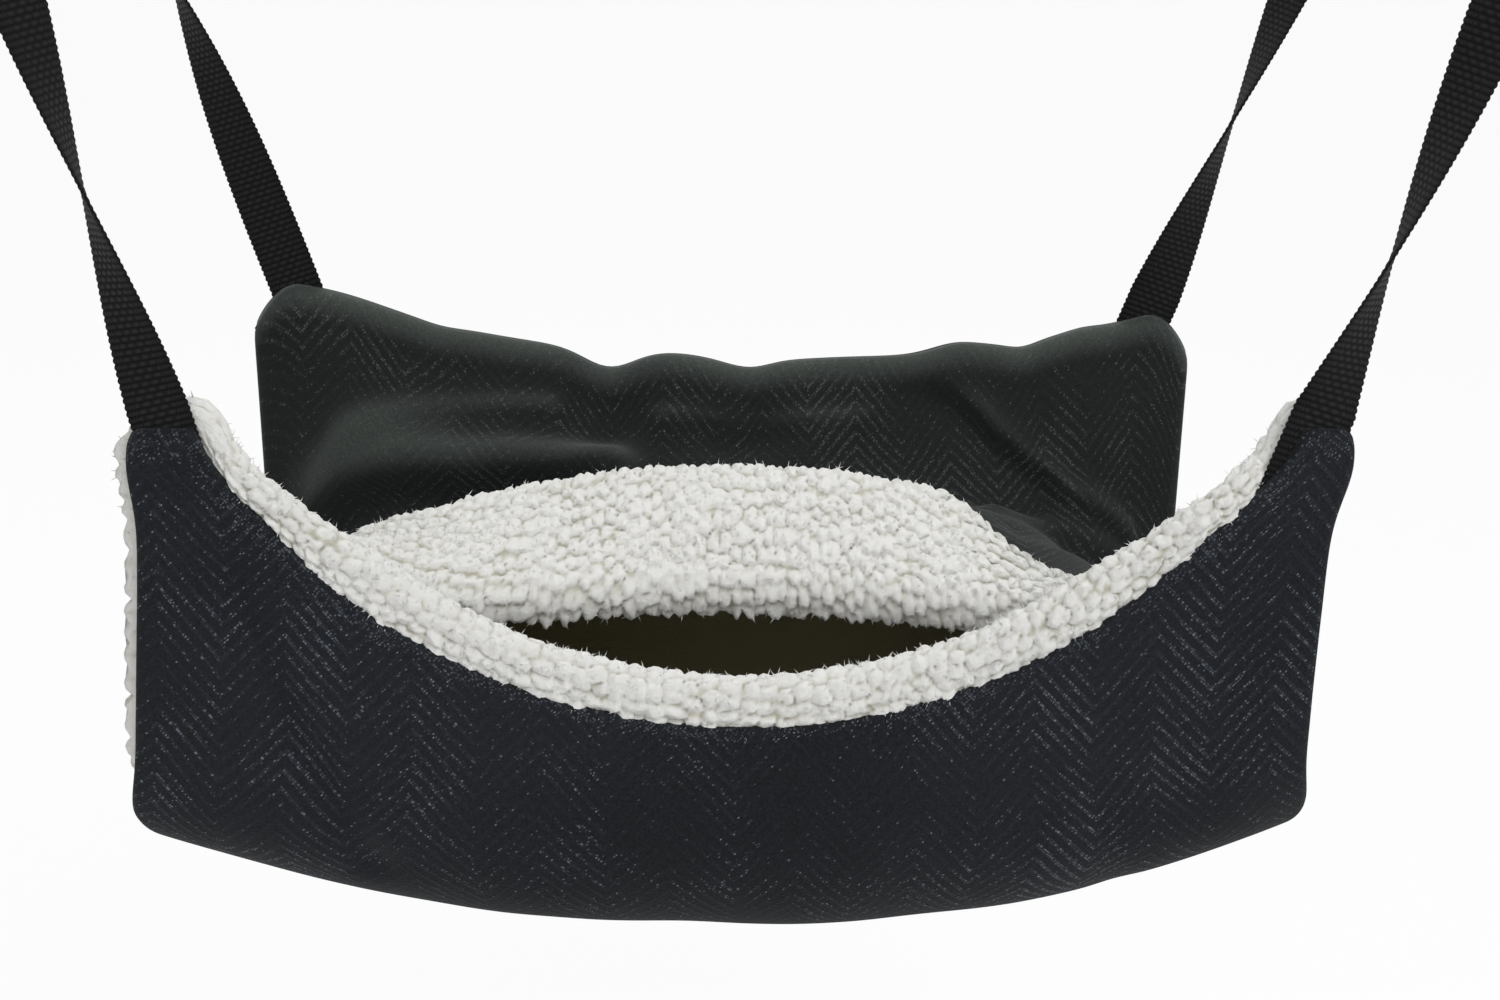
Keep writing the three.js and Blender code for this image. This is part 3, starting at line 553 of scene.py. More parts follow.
def slingBase(across, share):
    cornerFall = roundedEdge((1 - abs(across)) * halfWidth, slingLook["corner"])
    y, z = sectionPoint(across, share, 0, frontRimHeight(across) - cornerFall,
                        backRimHeight(across) + wavesAt(across, smallWaves), slingRows)
    # The bottom corners of the front wall are full
    full, out = ((slingLook["leftFull"], slingLook["leftOut"]) if across < 0
                 else (slingLook["rightFull"], slingLook["rightOut"]))
    full = (full * bump(z, -slingLook["fullDown"], slingLook["fullSpread"]) + out) * smooth(-y, 0, 60)
    x = across * (edgeHalf(across, y, z) + full)
    facing = smooth(-y, 0, sling["depth"] / 2)
    press = pressAt(x, z) * facing
    under = smooth(-z, 100, 180)
    lift = slingLook["lift"] * noise.noise(Vector((x * 0.03, y * 0.02, 7.7))) * under * (1 - facing)
    return Vector((x, y + press, z + lift))


def roundedEdge(distance, radius):
    # How far a cloth turns away from its face near an edge
    near = clamp(distance / radius)
    return radius * (1 - math.sqrt(max(0.0, 1 - (1 - near) ** 2)))


def slingNormal(across, share, base=slingBase):
    # Points to the inside of the trough
    step = 0.004
    a = base(clamp(across + step, -1, 1), share) - base(clamp(across - step, -1, 1), share)
    b = base(across, clamp(share + step)) - base(across, clamp(share - step))
    return a.cross(b).normalized()


columnAt, slingColumns = spaced([(-1, 0), (-0.972, 7), (0.972, slingLook["columns"]), (1, 7)])
rowAt, slingRowTotal = spaced([(0, 0), (0.012, 5), (0.988, slingLook["rows"]), (1, 5)])


def slingRun(across, share):
    # Length along the cloth from the middle of the floor, evened out so that the weave hangs nearly straight
    y, z = sectionPoint(across, share, 0, frontRimHeight(across), backRimHeight(across), slingRows)
    foot = sling["foot"]
    footTop = floorHeight(across) + foot
    flat = sling["depth"] / 2 - foot
    run = abs(y)
    if z > footTop:
        run = flat + foot * math.pi / 2 + z - footTop
    elif run > flat:
        run = flat + foot * math.asin(clamp((run - flat) / foot))
    evened = 0.65 * (floorHeight(across) + sling["floorDrop"]) * smooth(run, 0, flat + foot)
    return math.copysign(run + evened, y)


def slingPlace(u, v):
    across, share = columnAt(u), rowAt(v)
    point = slingBase(across, share)
    normal = slingNormal(across, share)
    fromSide = (1 - abs(across)) * halfWidth
    fromRim = min(share, 1 - share) * slingLook["length"]
    point += normal * (roundedEdge(fromSide, slingLook["edgeRound"])
                       + roundedEdge(fromRim, slingLook["rimRound"]))
    rimBand = smooth(share * slingLook["length"] + noise.noise(point * 0.05) * 4,
                     slingLook["rimFrom"], slingLook["rimFull"])
    return (*point, rimBand)


def slingCloth():
    piece = gridPiece("sling_cloth", slingColumns, slingRowTotal, slingPlace,
                      lambda u, v: (columnAt(u) * halfWidth, slingRun(columnAt(u), rowAt(v))), masks=("rim",))
    thicken(piece, slingLook["thickness"], 1)
    finishPiece(piece, looks["front"], "hammock", "herringbone_cloth", "sling_outer")
    return piece


slingPiece = slingCloth()
print("sling cloth:", len(slingPiece.data.vertices), "points")

# ---- the upper layer, as the model has it

cover = {
    "rimInset": 1.5, "backDrop": 20, "backLean": 4.5, "troughDrop": 35, "troughSideFall": 30, "troughY": 48,
    "crownDrop": 29, "crownSideFall": 18, "crownLeftRise": 4, "crownY": 12, "sideWidth": 184,
    "lipY": -24, "lipSideY": -60, "lipWidth": 105, "lipFall": 22, "lipLift": 49,
    "sideSteepness": 6, "lipFullness": 1.7, "crossFrom": 0.4, "crossTo": 0.8,
}
pile = {
    "front": 8, "roll": 12, "rollHeight": 16.5, "cornerHeight": 5, "cornerBlend": 57, "under": 7, "side": 3,
    "sideBlend": 30, "cuff": 8, "reach": 46, "sideReach": 63, "hem": 6, "leftEnd": 175, "leftBlend": 30,
    "rightEnd": 123, "rightBlend": 50, "looseness": 1.2,
}
backStack = wall + tabRoom + fitGap + pile["side"] + fitGap + wall / 2 + fitGap
frontStack = wall + tabRoom + fitGap + pile["front"] + fitGap + pile["side"] + fitGap + wall / 2


def splinePoints(points, count):
    # A smooth curve through the points, evenly spaced
    dense = []
    for k in range(len(points) - 1):
        a, b, c, d = (points[clampIndex(k + i, len(points))] for i in (-1, 0, 1, 2))
        for step in range(16):
            t = step / 16
            va, vb = (c - a) * 0.5, (d - b) * 0.5
            cubic, square = 2 * b - 2 * c + va + vb, -3 * b + 3 * c - 2 * va - vb
            dense.append(cubic * t ** 3 + square * t ** 2 + va * t + b)
    dense.append(points[-1])
    lengths = runsAlong((b - a).length for a, b in zip(dense, dense[1:]))
    spots, k = [], 0
    for i in range(count + 1):
        goal = lengths[-1] * i / count
        while k < len(dense) - 2 and lengths[k + 1] < goal:
            k += 1
        spots.append(dense[k].lerp(dense[k + 1], clamp((goal - lengths[k]) / (lengths[k + 1] - lengths[k]))))
    return spots


def clampIndex(i, count):
    return max(0, min(count - 1, i))


# Folds of the upper layer: path as x and share from back rim to lip, height and spread
coverFolds = [
    (((-150, 0.14), (-75, 0.13)), 6.5, 7), (((60, 0.02), (92, 0.17), (122, 0.27)), -2.5, 8),
    (((-172, 0.16), (-120, 0.225), (-90, 0.265), (-50, 0.33)), 12.0, 10.5),
    (((-155, 0.275), (-95, 0.35), (-60, 0.40)), -7.0, 8), (((-165, 0.36), (-110, 0.44)), 3.0, 8),
    (((75, 0.0), (105, 0.155), (135, 0.245), (162, 0.235)), 5.5, 6.0), (((104, 0.6), (140, 0.5)), -2.0, 9),
    (((100, 0.45), (125, 0.36), (160, 0.30)), 4.0, 6), (((-30, 0.12), (-58, 0.30)), 2.0, 10),
    (((6, 0.10), (-6, 0.26)), -2.0, 8), (((40, 0.22), (-20, 0.34)), 1.6, 10),
    (((-30, 0.14), (10, 0.15), (50, 0.13)), 5.0, 8),
]
coverGrid = {"columns": 260, "rows": 130, "waveFade": 0.12, "endFade": 24, "ripple": 1.5}


def coverColumn(across):
    x = abs(across) * halfWidth
    lifted = 1 - clamp(x / cover["sideWidth"]) ** cover["sideSteepness"]
    opening = clamp(1 - (x / cover["lipWidth"]) ** 2)
    raised = clamp(1 - (x / cover["sideWidth"]) ** 2) ** cover["lipFullness"]
    lip = Vector((lerp(cover["lipSideY"], cover["lipY"], opening),
                  frontRimHeight(across) - cover["lipFall"] + cover["lipLift"] * raised))
    rim = backRimHeight(across) - cover["rimInset"]
    rows = coverGrid["rows"]
    rise = backRimHeight(0)
    crown = rise - cover["crownDrop"] - cover["crownLeftRise"] * across
    path = splinePoints([
        Vector((backY - backStack, rim)),
        Vector((backY - backStack - cover["backLean"], rim - cover["backDrop"])),
        Vector((cover["troughY"], rise - cover["troughDrop"] - cover["troughSideFall"] * across ** 2)),
        Vector((cover["crownY"], crown - cover["crownSideFall"] * across ** 2)),
        lip,
    ], rows)
    spots = []
    for i in range(rows + 1):
        share = i / rows
        low = Vector(sectionPoint(across, 1 - share, backStack, lip.y, rim, coverRowCounts))
        snug = Vector(sectionPoint(across, 1 - share, frontStack, lip.y, rim, coverRowCounts))
        side = low.lerp(snug, smooth(share, cover["crossFrom"], cover["crossTo"]))
        spot = side.lerp(path[i], lifted)
        atRim = 1 - smooth(share, 0.0, coverGrid["waveFade"])
        spots.append(Vector((across * edgeHalf(across, spot.x, spot.y), spot.x,
                             spot.y + wavesAt(across, smallWaves) * atRim)))
    return spots


def foldedCover(points, highest):
    # The folds stand up square to the smooth layer and die out at its rim, its seams and its lip
    normals = normalsOf(points)
    folded = []
    for j, column in enumerate(points):
        length = sum((b - a).length for a, b in zip(column, column[1:]))
        x = coverAcross[j] * halfWidth
        seamFade = smooth(cover["sideWidth"] - abs(x), 0, pile["sideBlend"])
        paths = [(tuple((px, share * length) for px, share in path), height, spread)
                 for path, height, spread in coverFolds]
        made = []
        for i, point in enumerate(column):
            run = i / coverGrid["rows"] * length
            endFade = smooth(min(run, length - run), 0, coverGrid["endFade"])
            ripple = noise.noise(Vector((x * 0.03, run * 0.035, 1.7)))
            height = foldHeight(x, run, paths) + coverGrid["ripple"] * ripple
            made.append(point - normals[j][i] * min(height, highest) * seamFade * endFade)
        folded.append(made)
    return folded


def normalsOf(points):
    columns, rows = len(points), len(points[0])
    made = []
    for j, column in enumerate(points):
        left, right = points[max(j - 1, 0)], points[min(j + 1, columns - 1)]
        along = [column[min(i + 1, rows - 1)] - column[max(i - 1, 0)] for i in range(rows)]
        made.append([(right[i] - left[i]).cross(along[i]).normalized() for i in range(rows)])
    return made


coverAcross = [2 * j / coverGrid["columns"] - 1 for j in range(coverGrid["columns"] + 1)]
coverSmooth = [coverColumn(across) for across in coverAcross]
coverPoints = foldedCover(coverSmooth, math.inf)
coverNormals = normalsOf(coverPoints)
# The same without the folds that stand up, for the pile beneath
coverLow = foldedCover(coverSmooth, 0)
coverLowNormals = normalsOf(coverLow)
coverRuns = [runsAlong((b - a).length for a, b in zip(column, column[1:])) for column in coverPoints]


def blendIn(table, across, share):
    j = clamp((across + 1) / 2) * coverGrid["columns"]
    i = clamp(share) * coverGrid["rows"]
    ja, ia = min(int(j), coverGrid["columns"] - 1), min(int(i), coverGrid["rows"] - 1)
    js, si = j - ja, i - ia
    left = table[ja][ia] * (1 - si) + table[ja][ia + 1] * si
    right = table[ja + 1][ia] * (1 - si) + table[ja + 1][ia + 1] * si
    return left * (1 - js) + right * js


def coverAt(across, share, points=coverPoints):
    # Point and normal, which points down to the pocket, and length from the back rim
    return (blendIn(points, across, share), blendIn(coverNormals, across, share).normalized(),
            blendIn(coverRuns, across, share))


def shareBackFromLip(across, length):
    j = clampIndex(round((across + 1) / 2 * coverGrid["columns"]), coverGrid["columns"] + 1)
    run = coverRuns[j]
    goal = run[-1] - length
    low = stepBefore(run, goal)
    return (low + clamp((goal - run[low]) / max(run[low + 1] - run[low], 1e-6))) / coverGrid["rows"]


# paintedSheenFrom and paintedSheenFull set the painted sheen along the rim; crestFrom, crestFull and
# crestPaintedSheen set it on the fold crests
coverLook = {
    "columns": 190, "rows": 100, "thickness": 1.7, "edgeRound": 4.5, "rimRound": 6.5, "rimLift": 1.6,
    "rimLiftRun": 16, "paintedSheenFrom": 11, "paintedSheenFull": 1, "crestFrom": 2, "crestFull": 9.5, "crestPaintedSheen": 0.75,
}
coverColumnAt, coverColumns = spaced([(-1, 0), (-0.97, 7), (0.97, coverLook["columns"]), (1, 7)])
coverRowAt, coverRowTotal = spaced([(0, 0), (0.05, 10), (0.99, coverLook["rows"]), (1, 3)])


def coverPlace(u, v):
    across, share = coverColumnAt(u), coverRowAt(v)
    point, normal, run = coverAt(across, share)
    fromSide = (1 - abs(across)) * halfWidth
    away = roundedEdge(fromSide, coverLook["edgeRound"]) + roundedEdge(run, coverLook["rimRound"]) * 0.9
    # Painted sheen: the mask that lightens the colour rises on the rim and on the crests of the folds, where
    # light catches them
    crest = (blendIn(coverSmooth, across, share) - point).dot(normal)
    paintedSheen = max(smooth(run, coverLook["paintedSheenFrom"], coverLook["paintedSheenFull"]),
              smooth(crest, coverLook["crestFrom"], coverLook["crestFull"]) * coverLook["crestPaintedSheen"])
    lift = Vector((0, 0, coverLook["rimLift"])) * smooth(run, coverLook["rimLiftRun"], 0)
    return (*(point + normal * (away - 0.2) + lift), paintedSheen)


def coverCloth():
    piece = gridPiece("cover_cloth", coverColumns, coverRowTotal, coverPlace,
                      lambda u, v: (coverColumnAt(u) * halfWidth + 9,
                                    coverAt(coverColumnAt(u), coverRowAt(v))[2]), masks=("rim",))
    thicken(piece, coverLook["thickness"], 0)
    finishPiece(piece, looks["top"], "hammock", "herringbone_cloth", "cover_outer")
    return piece


coverPiece = coverCloth()
print("cover cloth:", len(coverPiece.data.vertices), "points")

# ---- curly pile

tufts = {"wide": 4.2, "tall": 8.2, "height": 2.9, "round": 0.45, "lean": 0.6, "curl": 0.26}
tuftCache = {}
# Loose fibre ends that stand out of the pile, in millimetres
wisps = {"front": 6500, "cuff": 6500, "from": 0.6, "radius": 0.27, "least": 1.2, "most": 3.4, "stray": 1.5}


def chance(a, b, c):
    return math.sin(a * 127.1 + b * 311.7 + c * 74.7) * 43758.5453 % 1


def tuftOf(column, row, layer, wide, tall):
    # Middle and size of one curl of the pile. The curls stand in uneven columns.
    key = (column, row, layer)
    if key not in tuftCache:
        phase = chance(column, 3, layer) * tall
        size = 0.84 + 0.36 * chance(column, row, layer + 1)
        tuftCache[key] = ((column + 0.5 + (chance(column, row, layer + 2) - 0.5) * 0.6) * wide,
                          (row + 0.5 + (chance(column, row, layer + 3) - 0.5) * 0.5) * tall + phase, size)
    return tuftCache[key]


def tuftAt(s, t, layer, wide, tall):
    # Height of the pile, 0 in the creases between curls to about 1, at a place on the cloth in millimetres
    s += 1.2 * noise.noise(Vector((s * 0.07, t * 0.07, layer + 5)))
    column = math.floor(s / wide)
    nearest, second, below = 9.0, 9.0, 0.0
    for c in (column - 1, column, column + 1):
        row = math.floor((t - chance(c, 3, layer) * tall) / tall)
        for r in (row - 1, row, row + 1):
            cs, ct, size = tuftOf(c, r, layer, wide, tall)
            away = math.hypot((s - cs) / wide, (t - ct) / tall) / size
            if away < nearest:
                nearest, second, below = away, nearest, (t - ct) / tall
            elif away < second:
                second = away
    dome = (1 - (nearest / second) ** 2) ** tufts["round"]
    curl = noise.fractal(Vector((s * 0.5, t * 0.5, layer + 2)), 0.9, 2.1, 3)
    swell = 0.3 * noise.noise(Vector((s * 0.09, t * 0.07, layer + 9)))
    return clamp(dome * (0.7 + tufts["lean"] * below) + tufts["curl"] * curl + swell + 0.08, 0, 1.3)


def pilePlace(point, normal, down, height, amount):
    # A point of the pile's skin with its curl raised and hanging a little
    # Its mask, which also sets the painted crease shade, stays low where no curls show
    rise = (height - 0.55) * tufts["height"] * amount
    mask = clamp(height, 0, 1 if amount > 0.5 else wisps["from"])
    return (*(point + normal * rise + down * (1.3 * amount * height)), mask)


def rimUp(across):
    # The rim's own upward direction in the front wall
    step = 0.004
    a = Vector((clamp(across - step, -1, 1) * halfWidth, frontRimHeight(clamp(across - step, -1, 1))))
    b = Vector((clamp(across + step, -1, 1) * halfWidth, frontRimHeight(clamp(across + step, -1, 1))))
    along = (b - a).normalized()
    return Vector((-along.y, 0, along.x))


rimSteps = 400
rimStops = [2 * k / rimSteps - 1 for k in range(rimSteps + 1)]
rimRuns = runsAlong(math.hypot((b - a) * halfWidth, frontRimHeight(b) - frontRimHeight(a))
                    for a, b in zip(rimStops, rimStops[1:]))


def rimAcross(share):
    # Place across that lies a given share along the rim's own curve
    goal = share * rimRuns[-1]
    low = stepBefore(rimRuns, goal)
    return 2 * (low + (goal - rimRuns[low]) / (rimRuns[low + 1] - rimRuns[low])) / rimSteps - 1


frontPile = {
    "columns": 500, "hidden": 56, "face": 18, "crest": 24, "back": 26, "low": 16, "peek": 10.0,
    "wide": 6.2, "tall": 6.8, "start": 7, "hiddenDepth": 124, "upperDepth": 40, "backDepth": 128, "hug": 0.4,
    "bulge": 0.8,
}
# Stages round the section: to 1 against the cloth, to 2 up the roll, to 3 over it, to 5 down the back,
# and to 6 closed
frontPileAt, frontPileRows = spaced([
    (0, 0), (1, frontPile["hidden"]), (2, frontPile["face"]), (3, frontPile["crest"]), (4, frontPile["back"]),
    (5, frontPile["low"]), (6, 1)])


def frontPileSkin(across, stage):
    # The skin, its outward direction, the way its curls hang, and the middle of the pile behind that place
    rim = slingBase(across, 0)
    up = rimUp(across)
    inward = Vector((0, 1, 0))
    x = abs(across) * halfWidth
    corner = smooth(x, frontRim["halfChord"] - pile["cornerBlend"], frontRim["halfChord"])
    height = lerp(pile["rollHeight"] - 2.5, pile["cornerHeight"] + 1.5, corner)
    roll = lerp(pile["roll"], pile["front"], corner)
    room = wall + fitGap + frontPile["hug"] + (tabRoom + 1.4) * smooth(x, 154, 164)
    radius = roll / 2
    below = Vector((0, 0, -1))
    if stage <= 1:
        depth = lerp(frontPile["hiddenDepth"], frontPile["start"], stage)
        core = wallInset(across, rim, depth, room + pile["front"] / 2)
        return wallInset(across, rim, depth, room + frontPile["hug"]), -inward, below, core
    centre = rim + up * (height - radius) + inward * (room - frontPile["hug"] + radius)
    if stage <= 2:
        s = stage - 1
        start = wallInset(across, rim, frontPile["start"], room + frontPile["hug"])
        end = rim + up * (height - radius) + inward * (room - 1.2)
        core = wallInset(across, rim, frontPile["start"], room + pile["front"] / 2).lerp(centre, s)
        bulge = math.sin(s * math.pi) * frontPile["bulge"]
        return start.lerp(end, s) - inward * bulge, -inward, -up, core
    if stage <= 3:
        angle = math.pi * (stage - 2)
        normal = (-inward * math.cos(angle) + up * math.sin(angle)).normalized()
        return centre + normal * (radius + frontPile["bulge"]), normal, (inward + up) * -0.3, centre
    depth = lerp(0, frontPile["upperDepth"], stage - 3) if stage <= 4 else lerp(
        frontPile["upperDepth"], frontPile["backDepth"], stage - 4)
    top = centre + inward * (radius + frontPile["bulge"])
    thick = lerp(roll, pile["front"], smooth(depth, 0, 26))
    low = wallInset(across, rim, depth - height + radius, room + thick)
    core = wallInset(across, rim, depth - height + radius, room + thick / 2)
    share = smooth(depth, 0, 18)
    return top.lerp(low, share), slingWallNormal(across, rim, depth), below, centre.lerp(core, share)


def wallInset(across, rim, depth, inset):
    # Place on the inside of the front wall, a depth below the rim along the cloth
    footTop = floorHeight(across) + sling["foot"]
    z = rim.z - depth
    if z >= footTop:
        spot = (frontY + inset, z)
    else:
        angle = clamp((footTop - z) / sling["foot"], 0, 1.1)
        radius = sling["foot"] - inset
        spot = (frontY + sling["foot"] - radius * math.cos(angle), footTop - radius * math.sin(angle))
    x = across * edgeHalf(across, *spot)
    facing = smooth(-spot[0] + inset, 0, sling["depth"] / 2)
    return Vector((x, spot[0] + pressAt(x, spot[1]) * facing, spot[1]))


def slingWallNormal(across, rim, depth):
    footTop = floorHeight(across) + sling["foot"]
    angle = clamp((footTop - (rim.z - depth)) / sling["foot"], 0, 1.1)
    return Vector((0, math.cos(angle), math.sin(angle)))


def frontPilePlace(u, v):
    stage = frontPileAt(v) if v < closingShare else 0
    across = rimAcross(u) * 0.985
    point, normal, down, core = frontPileSkin(across, stage)
    s = u * rimRuns[-1]
    t = 103 * stage if stage <= 1 else 103 + (stage - 1) * 22 if stage <= 3 else 147 + (stage - 3) * 40
    # The pile thins out to its ends, and its left end shows beside the outer cloth
    leftEnd = smooth(-across, 0.93, 0.985)
    fromEnd = min(u, 1 - u) * rimRuns[-1]
    rounded = lerp(0.12, 1, math.sqrt(1 - (1 - clamp(fromEnd / 4.5)) ** 2))
    point = core.lerp(point, rounded)
    show = max(smooth(stage, 1.0, 1.35), leftEnd * smooth(stage, 0, 0.12))
    height = tuftAt(s, t, 1.5, frontPile["wide"], frontPile["tall"])
    drop = -point.z
    wave = math.sin(drop * 0.39 + 2 * noise.noise(Vector((0, drop * 0.05, 2))))
    scallop = 0.66 + 0.34 * math.sqrt(abs(wave))
    point.x -= frontPile["peek"] * scallop * leftEnd * smooth(drop, -9, 6) * smooth(drop, 132, 112)
    # It stays behind the straps
    x = abs(across) * halfWidth
    behind = smooth(x, 157, 165) * smooth(stage, 2.7, 2.2)
    show *= (1 - 0.75 * behind) * (1 - 0.7 * smooth(stage, 4.0, 4.3))
    return pilePlace(point, normal, down, height, show * (0.35 + 0.65 * rounded))


def frontPilePiece():
    piece = gridPiece("front_pile", frontPile["columns"], frontPileRows, frontPilePlace, closed=True,
                      masks=("tuft",))
    closePiece(piece)
    addWisps(piece, wisps["front"], 3)
    finishPiece(piece, looks["pile"], "hammock", "sherpa_pile", "front_lining")
    return piece


def addWisps(piece, count, layer):
    mesh = piece.data
    heights = mesh.attributes["tuft"].data
    bm = bmesh.new()
    tall = bm.verts.layers.float.new("tuft")
    for k in range(count):
        vert = mesh.vertices[int(chance(k, 1, layer) * len(mesh.vertices))]
        if heights[vert.index].value <= wisps["from"]:
            continue
        stray = Vector([chance(k, i, layer) - 0.5 for i in (2, 3, 4)]) * wisps["stray"]
        along = (vert.normal + stray).normalized()
        length = lerp(wisps["least"], wisps["most"], chance(k, 5, layer)) * mm
        turn = along.to_track_quat("Z", "Y").to_matrix().to_4x4()
        made = bmesh.ops.create_cone(bm, cap_ends=True, segments=3, radius1=wisps["radius"] * mm, radius2=0,
                                     depth=length,
                                     matrix=Matrix.Translation(vert.co + along * length * 0.3) @ turn)
        for tip in made["verts"]:
            tip[tall] = 1.0
    added = meshFrom("wisps", bm)
    bm = bmesh.new()
    bm.from_mesh(mesh)
    bm.from_mesh(added)
    bm.to_mesh(mesh)
    bm.free()
    bpy.data.meshes.remove(added)
    mesh.shade_smooth()


def closePiece(piece):
    # Closes the two ends of a section that is joined along its length
    bm = bmesh.new()
    bm.from_mesh(piece.data)
    ends = [edge for edge in bm.edges if edge.is_boundary]
    filled = bmesh.ops.holes_fill(bm, edges=ends, sides=0)
    bmesh.ops.triangulate(bm, faces=filled["faces"])
    bmesh.ops.recalc_face_normals(bm, faces=bm.faces)
    bm.to_mesh(piece.data)
    bm.free()
    piece.data.shade_smooth()


frontPileObject = frontPilePiece()
print("front pile:", len(frontPileObject.data.vertices), "points")

# Stages of the cuff's section: under the upper layer, round the lip, back over it, hem, hidden return over
# the layer, round its lip and back under it
cuffRows = {"under": 34, "lip": 20, "top": 66, "hem": 8, "return": 4, "inner": 72}
cuffAt, cuffRowTotal = spaced([(0, 0), (1, cuffRows["under"]), (2, cuffRows["lip"]), (3, cuffRows["top"]),
                               (4, cuffRows["hem"]), (5, cuffRows["return"]), (6, cuffRows["return"]),
                               (7, cuffRows["inner"]), (8, 1)])
cuffColumnAt, cuffColumns = spaced([(-0.985, 0), (-0.86, 16), (0.78, 350), (0.985, 20)])
locks = {"wide": 4.6, "least": 0.2, "most": 3.2}
# The skin starts at this share of the upper layer, lies this far within the pile's thickness, and looks
# this far along the cloth for its direction
cuffSkinLook = {"from": 0.06, "within": 0.8, "look": 3, "inner": 0.3}


def cuffTurned(across):
    # 0 where the cuff is no more than a hem, 1 where it is turned back in full
    side = "left" if across < 0 else "right"
    return smooth(pile[side + "End"] - abs(across) * halfWidth, 0, pile[side + "Blend"])


def cuffReach(across):
    return lerp(pile["hem"], lerp(pile["reach"], pile["sideReach"], across ** 2), cuffTurned(across))


def lockAt(s):
    # Length of the hanging lock at a place along the lip
    longest = 0.0
    cell = math.floor(s / locks["wide"])
    for c in (cell - 1, cell, cell + 1):
        centre = (c + 0.5 + (chance(c, 1, 8) - 0.5) * 0.5) * locks["wide"]
        shape = clamp(1 - abs(s - centre) / (locks["wide"] * 0.62))
        longest = max(longest, shape ** 0.7 * lerp(locks["least"], locks["most"], chance(c, 2, 8)))
    return longest


def cuffSkin(across, stage):
    fade = smooth(cover["sideWidth"] - abs(across) * halfWidth, 0, pile["sideBlend"])
    thick = lerp(pile["side"], pile["cuff"], min(fade, cuffTurned(across)))
    reach = cuffReach(across)
    near = wall / 2 + fitGap
    within, ahead = cuffSkinLook["within"], cuffSkinLook["look"]
    if stage <= 1:
        share = lerp(cuffSkinLook["from"], 1, stage)
        point, _, _ = coverAt(across, share, coverLow)
        normal = blendIn(coverLowNormals, across, share).normalized()
        room = backY - point.y - (backStack - pile["side"])
        full = lerp(pile["side"], pile["under"], fade)
        depth = lerp(clamp(room, pile["side"], full), thick, smooth(share, 0.7, 1))
        return point + normal * (near + depth - within), normal, Vector((0, 0, 0)), thick
    end, endNormal, _ = coverAt(across, 1)
    before, _, _ = coverAt(across, 0.97)
    onward = (end - before).normalized()
    if stage <= 2:
        angle = math.pi * (stage - 1)
        away = (endNormal * math.cos(angle) + onward * math.sin(angle)).normalized()
        down = onward * smooth(stage, 1.4, 2) - Vector((0, 0, math.sin(angle)))
        return end + away * (near + thick - within), away, down, thick
    if stage <= 3:
        back = reach * (stage - 2)
        point, normal, _ = coverAt(across, shareBackFromLip(across, back))
        forward = -(coverAt(across, shareBackFromLip(across, back + ahead))[0] - point).normalized()
        loose = pile["looseness"] * 0.5 * smooth(back, 0, 14)
        return point - normal * (near + thick - within + loose), -normal, forward, thick
    point, normal, _ = coverAt(across, shareBackFromLip(across, reach))
    backward = (coverAt(across, shareBackFromLip(across, reach + ahead))[0] - point).normalized()
    if stage <= 4:
        angle = math.pi / 2 * (stage - 3)
        away = (-normal * math.cos(angle) + backward * math.sin(angle)).normalized()
        radius = (thick + pile["looseness"] * 0.5) / 2
        centre = point - normal * (near + radius - 0.4)
        return centre + away * radius, away, -backward * 0.3, thick
    if stage <= 5:
        spot = shareBackFromLip(across, lerp(reach, 0, stage - 4))
        point, normal, _ = coverAt(across, spot)
        return point - normal * (near + cuffSkinLook["inner"]), -normal, Vector((0, 0, 0)), thick
    if stage <= 6:
        angle = math.pi * (6 - stage)
        away = (endNormal * math.cos(angle) + onward * math.sin(angle)).normalized()
        return end + away * (near + cuffSkinLook["inner"]), away, Vector((0, 0, 0)), thick
    point, normal, _ = coverAt(across, lerp(1, cuffSkinLook["from"], stage - 6))
    return point + normal * (near + cuffSkinLook["inner"]), normal, Vector((0, 0, 0)), thick


def cuffPlace(u, v):
    across, stage = cuffColumnAt(u), cuffAt(v) if v < closingShare else 0
    point, normal, down, thick = cuffSkin(across, stage)
    s = across * halfWidth * 1.05
    # Lengths along the section at which the stages end
    lengths = (0, 144, 172, 234, 242, 250, 260, 270, 272)
    k = min(int(stage), 7)
    t = lerp(lengths[k], lengths[k + 1], stage - k)
    if 2 <= stage <= 3:
        t = lengths[2] + cuffReach(across) * (stage - 2)
    if 1 <= stage <= 2:
        t = lengths[2] - (lengths[2] - lengths[1]) * (2 - stage)
    shown = (1 - smooth(stage, 4.0, 4.2)) * smooth(thick, 2.0, 3.2) * smooth(stage, 0, 0.1)
    amount = shown * (0.75 + 0.25 * smooth(stage, 1.0, 1.6))
    height = tuftAt(s, -t, 4.5, tufts["wide"], tufts["tall"])
    hang = lockAt(s) * bump(stage, 1.3, 0.16) * shown
    point += Vector((0.25, -0.3, -1)) * hang
    return pilePlace(point, normal, down, height, amount)


def cuffPiece():
    piece = gridPiece("cuff_pile", cuffColumns, cuffRowTotal, cuffPlace, closed=True, masks=("tuft",))
    closePiece(piece)
    addWisps(piece, wisps["cuff"], 6)
    finishPiece(piece, looks["pile"], "hammock", "sherpa_pile", "cover_lining")
    return piece


cuffObject = cuffPiece()
print("cuff pile:", len(cuffObject.data.vertices), "points")

# ---- the pocket's smooth inner cloth

innerCloth = {"columns": 80, "rows": 90, "thickness": 1.4, "inset": 3.4, "from": 0.41, "to": 0.905}


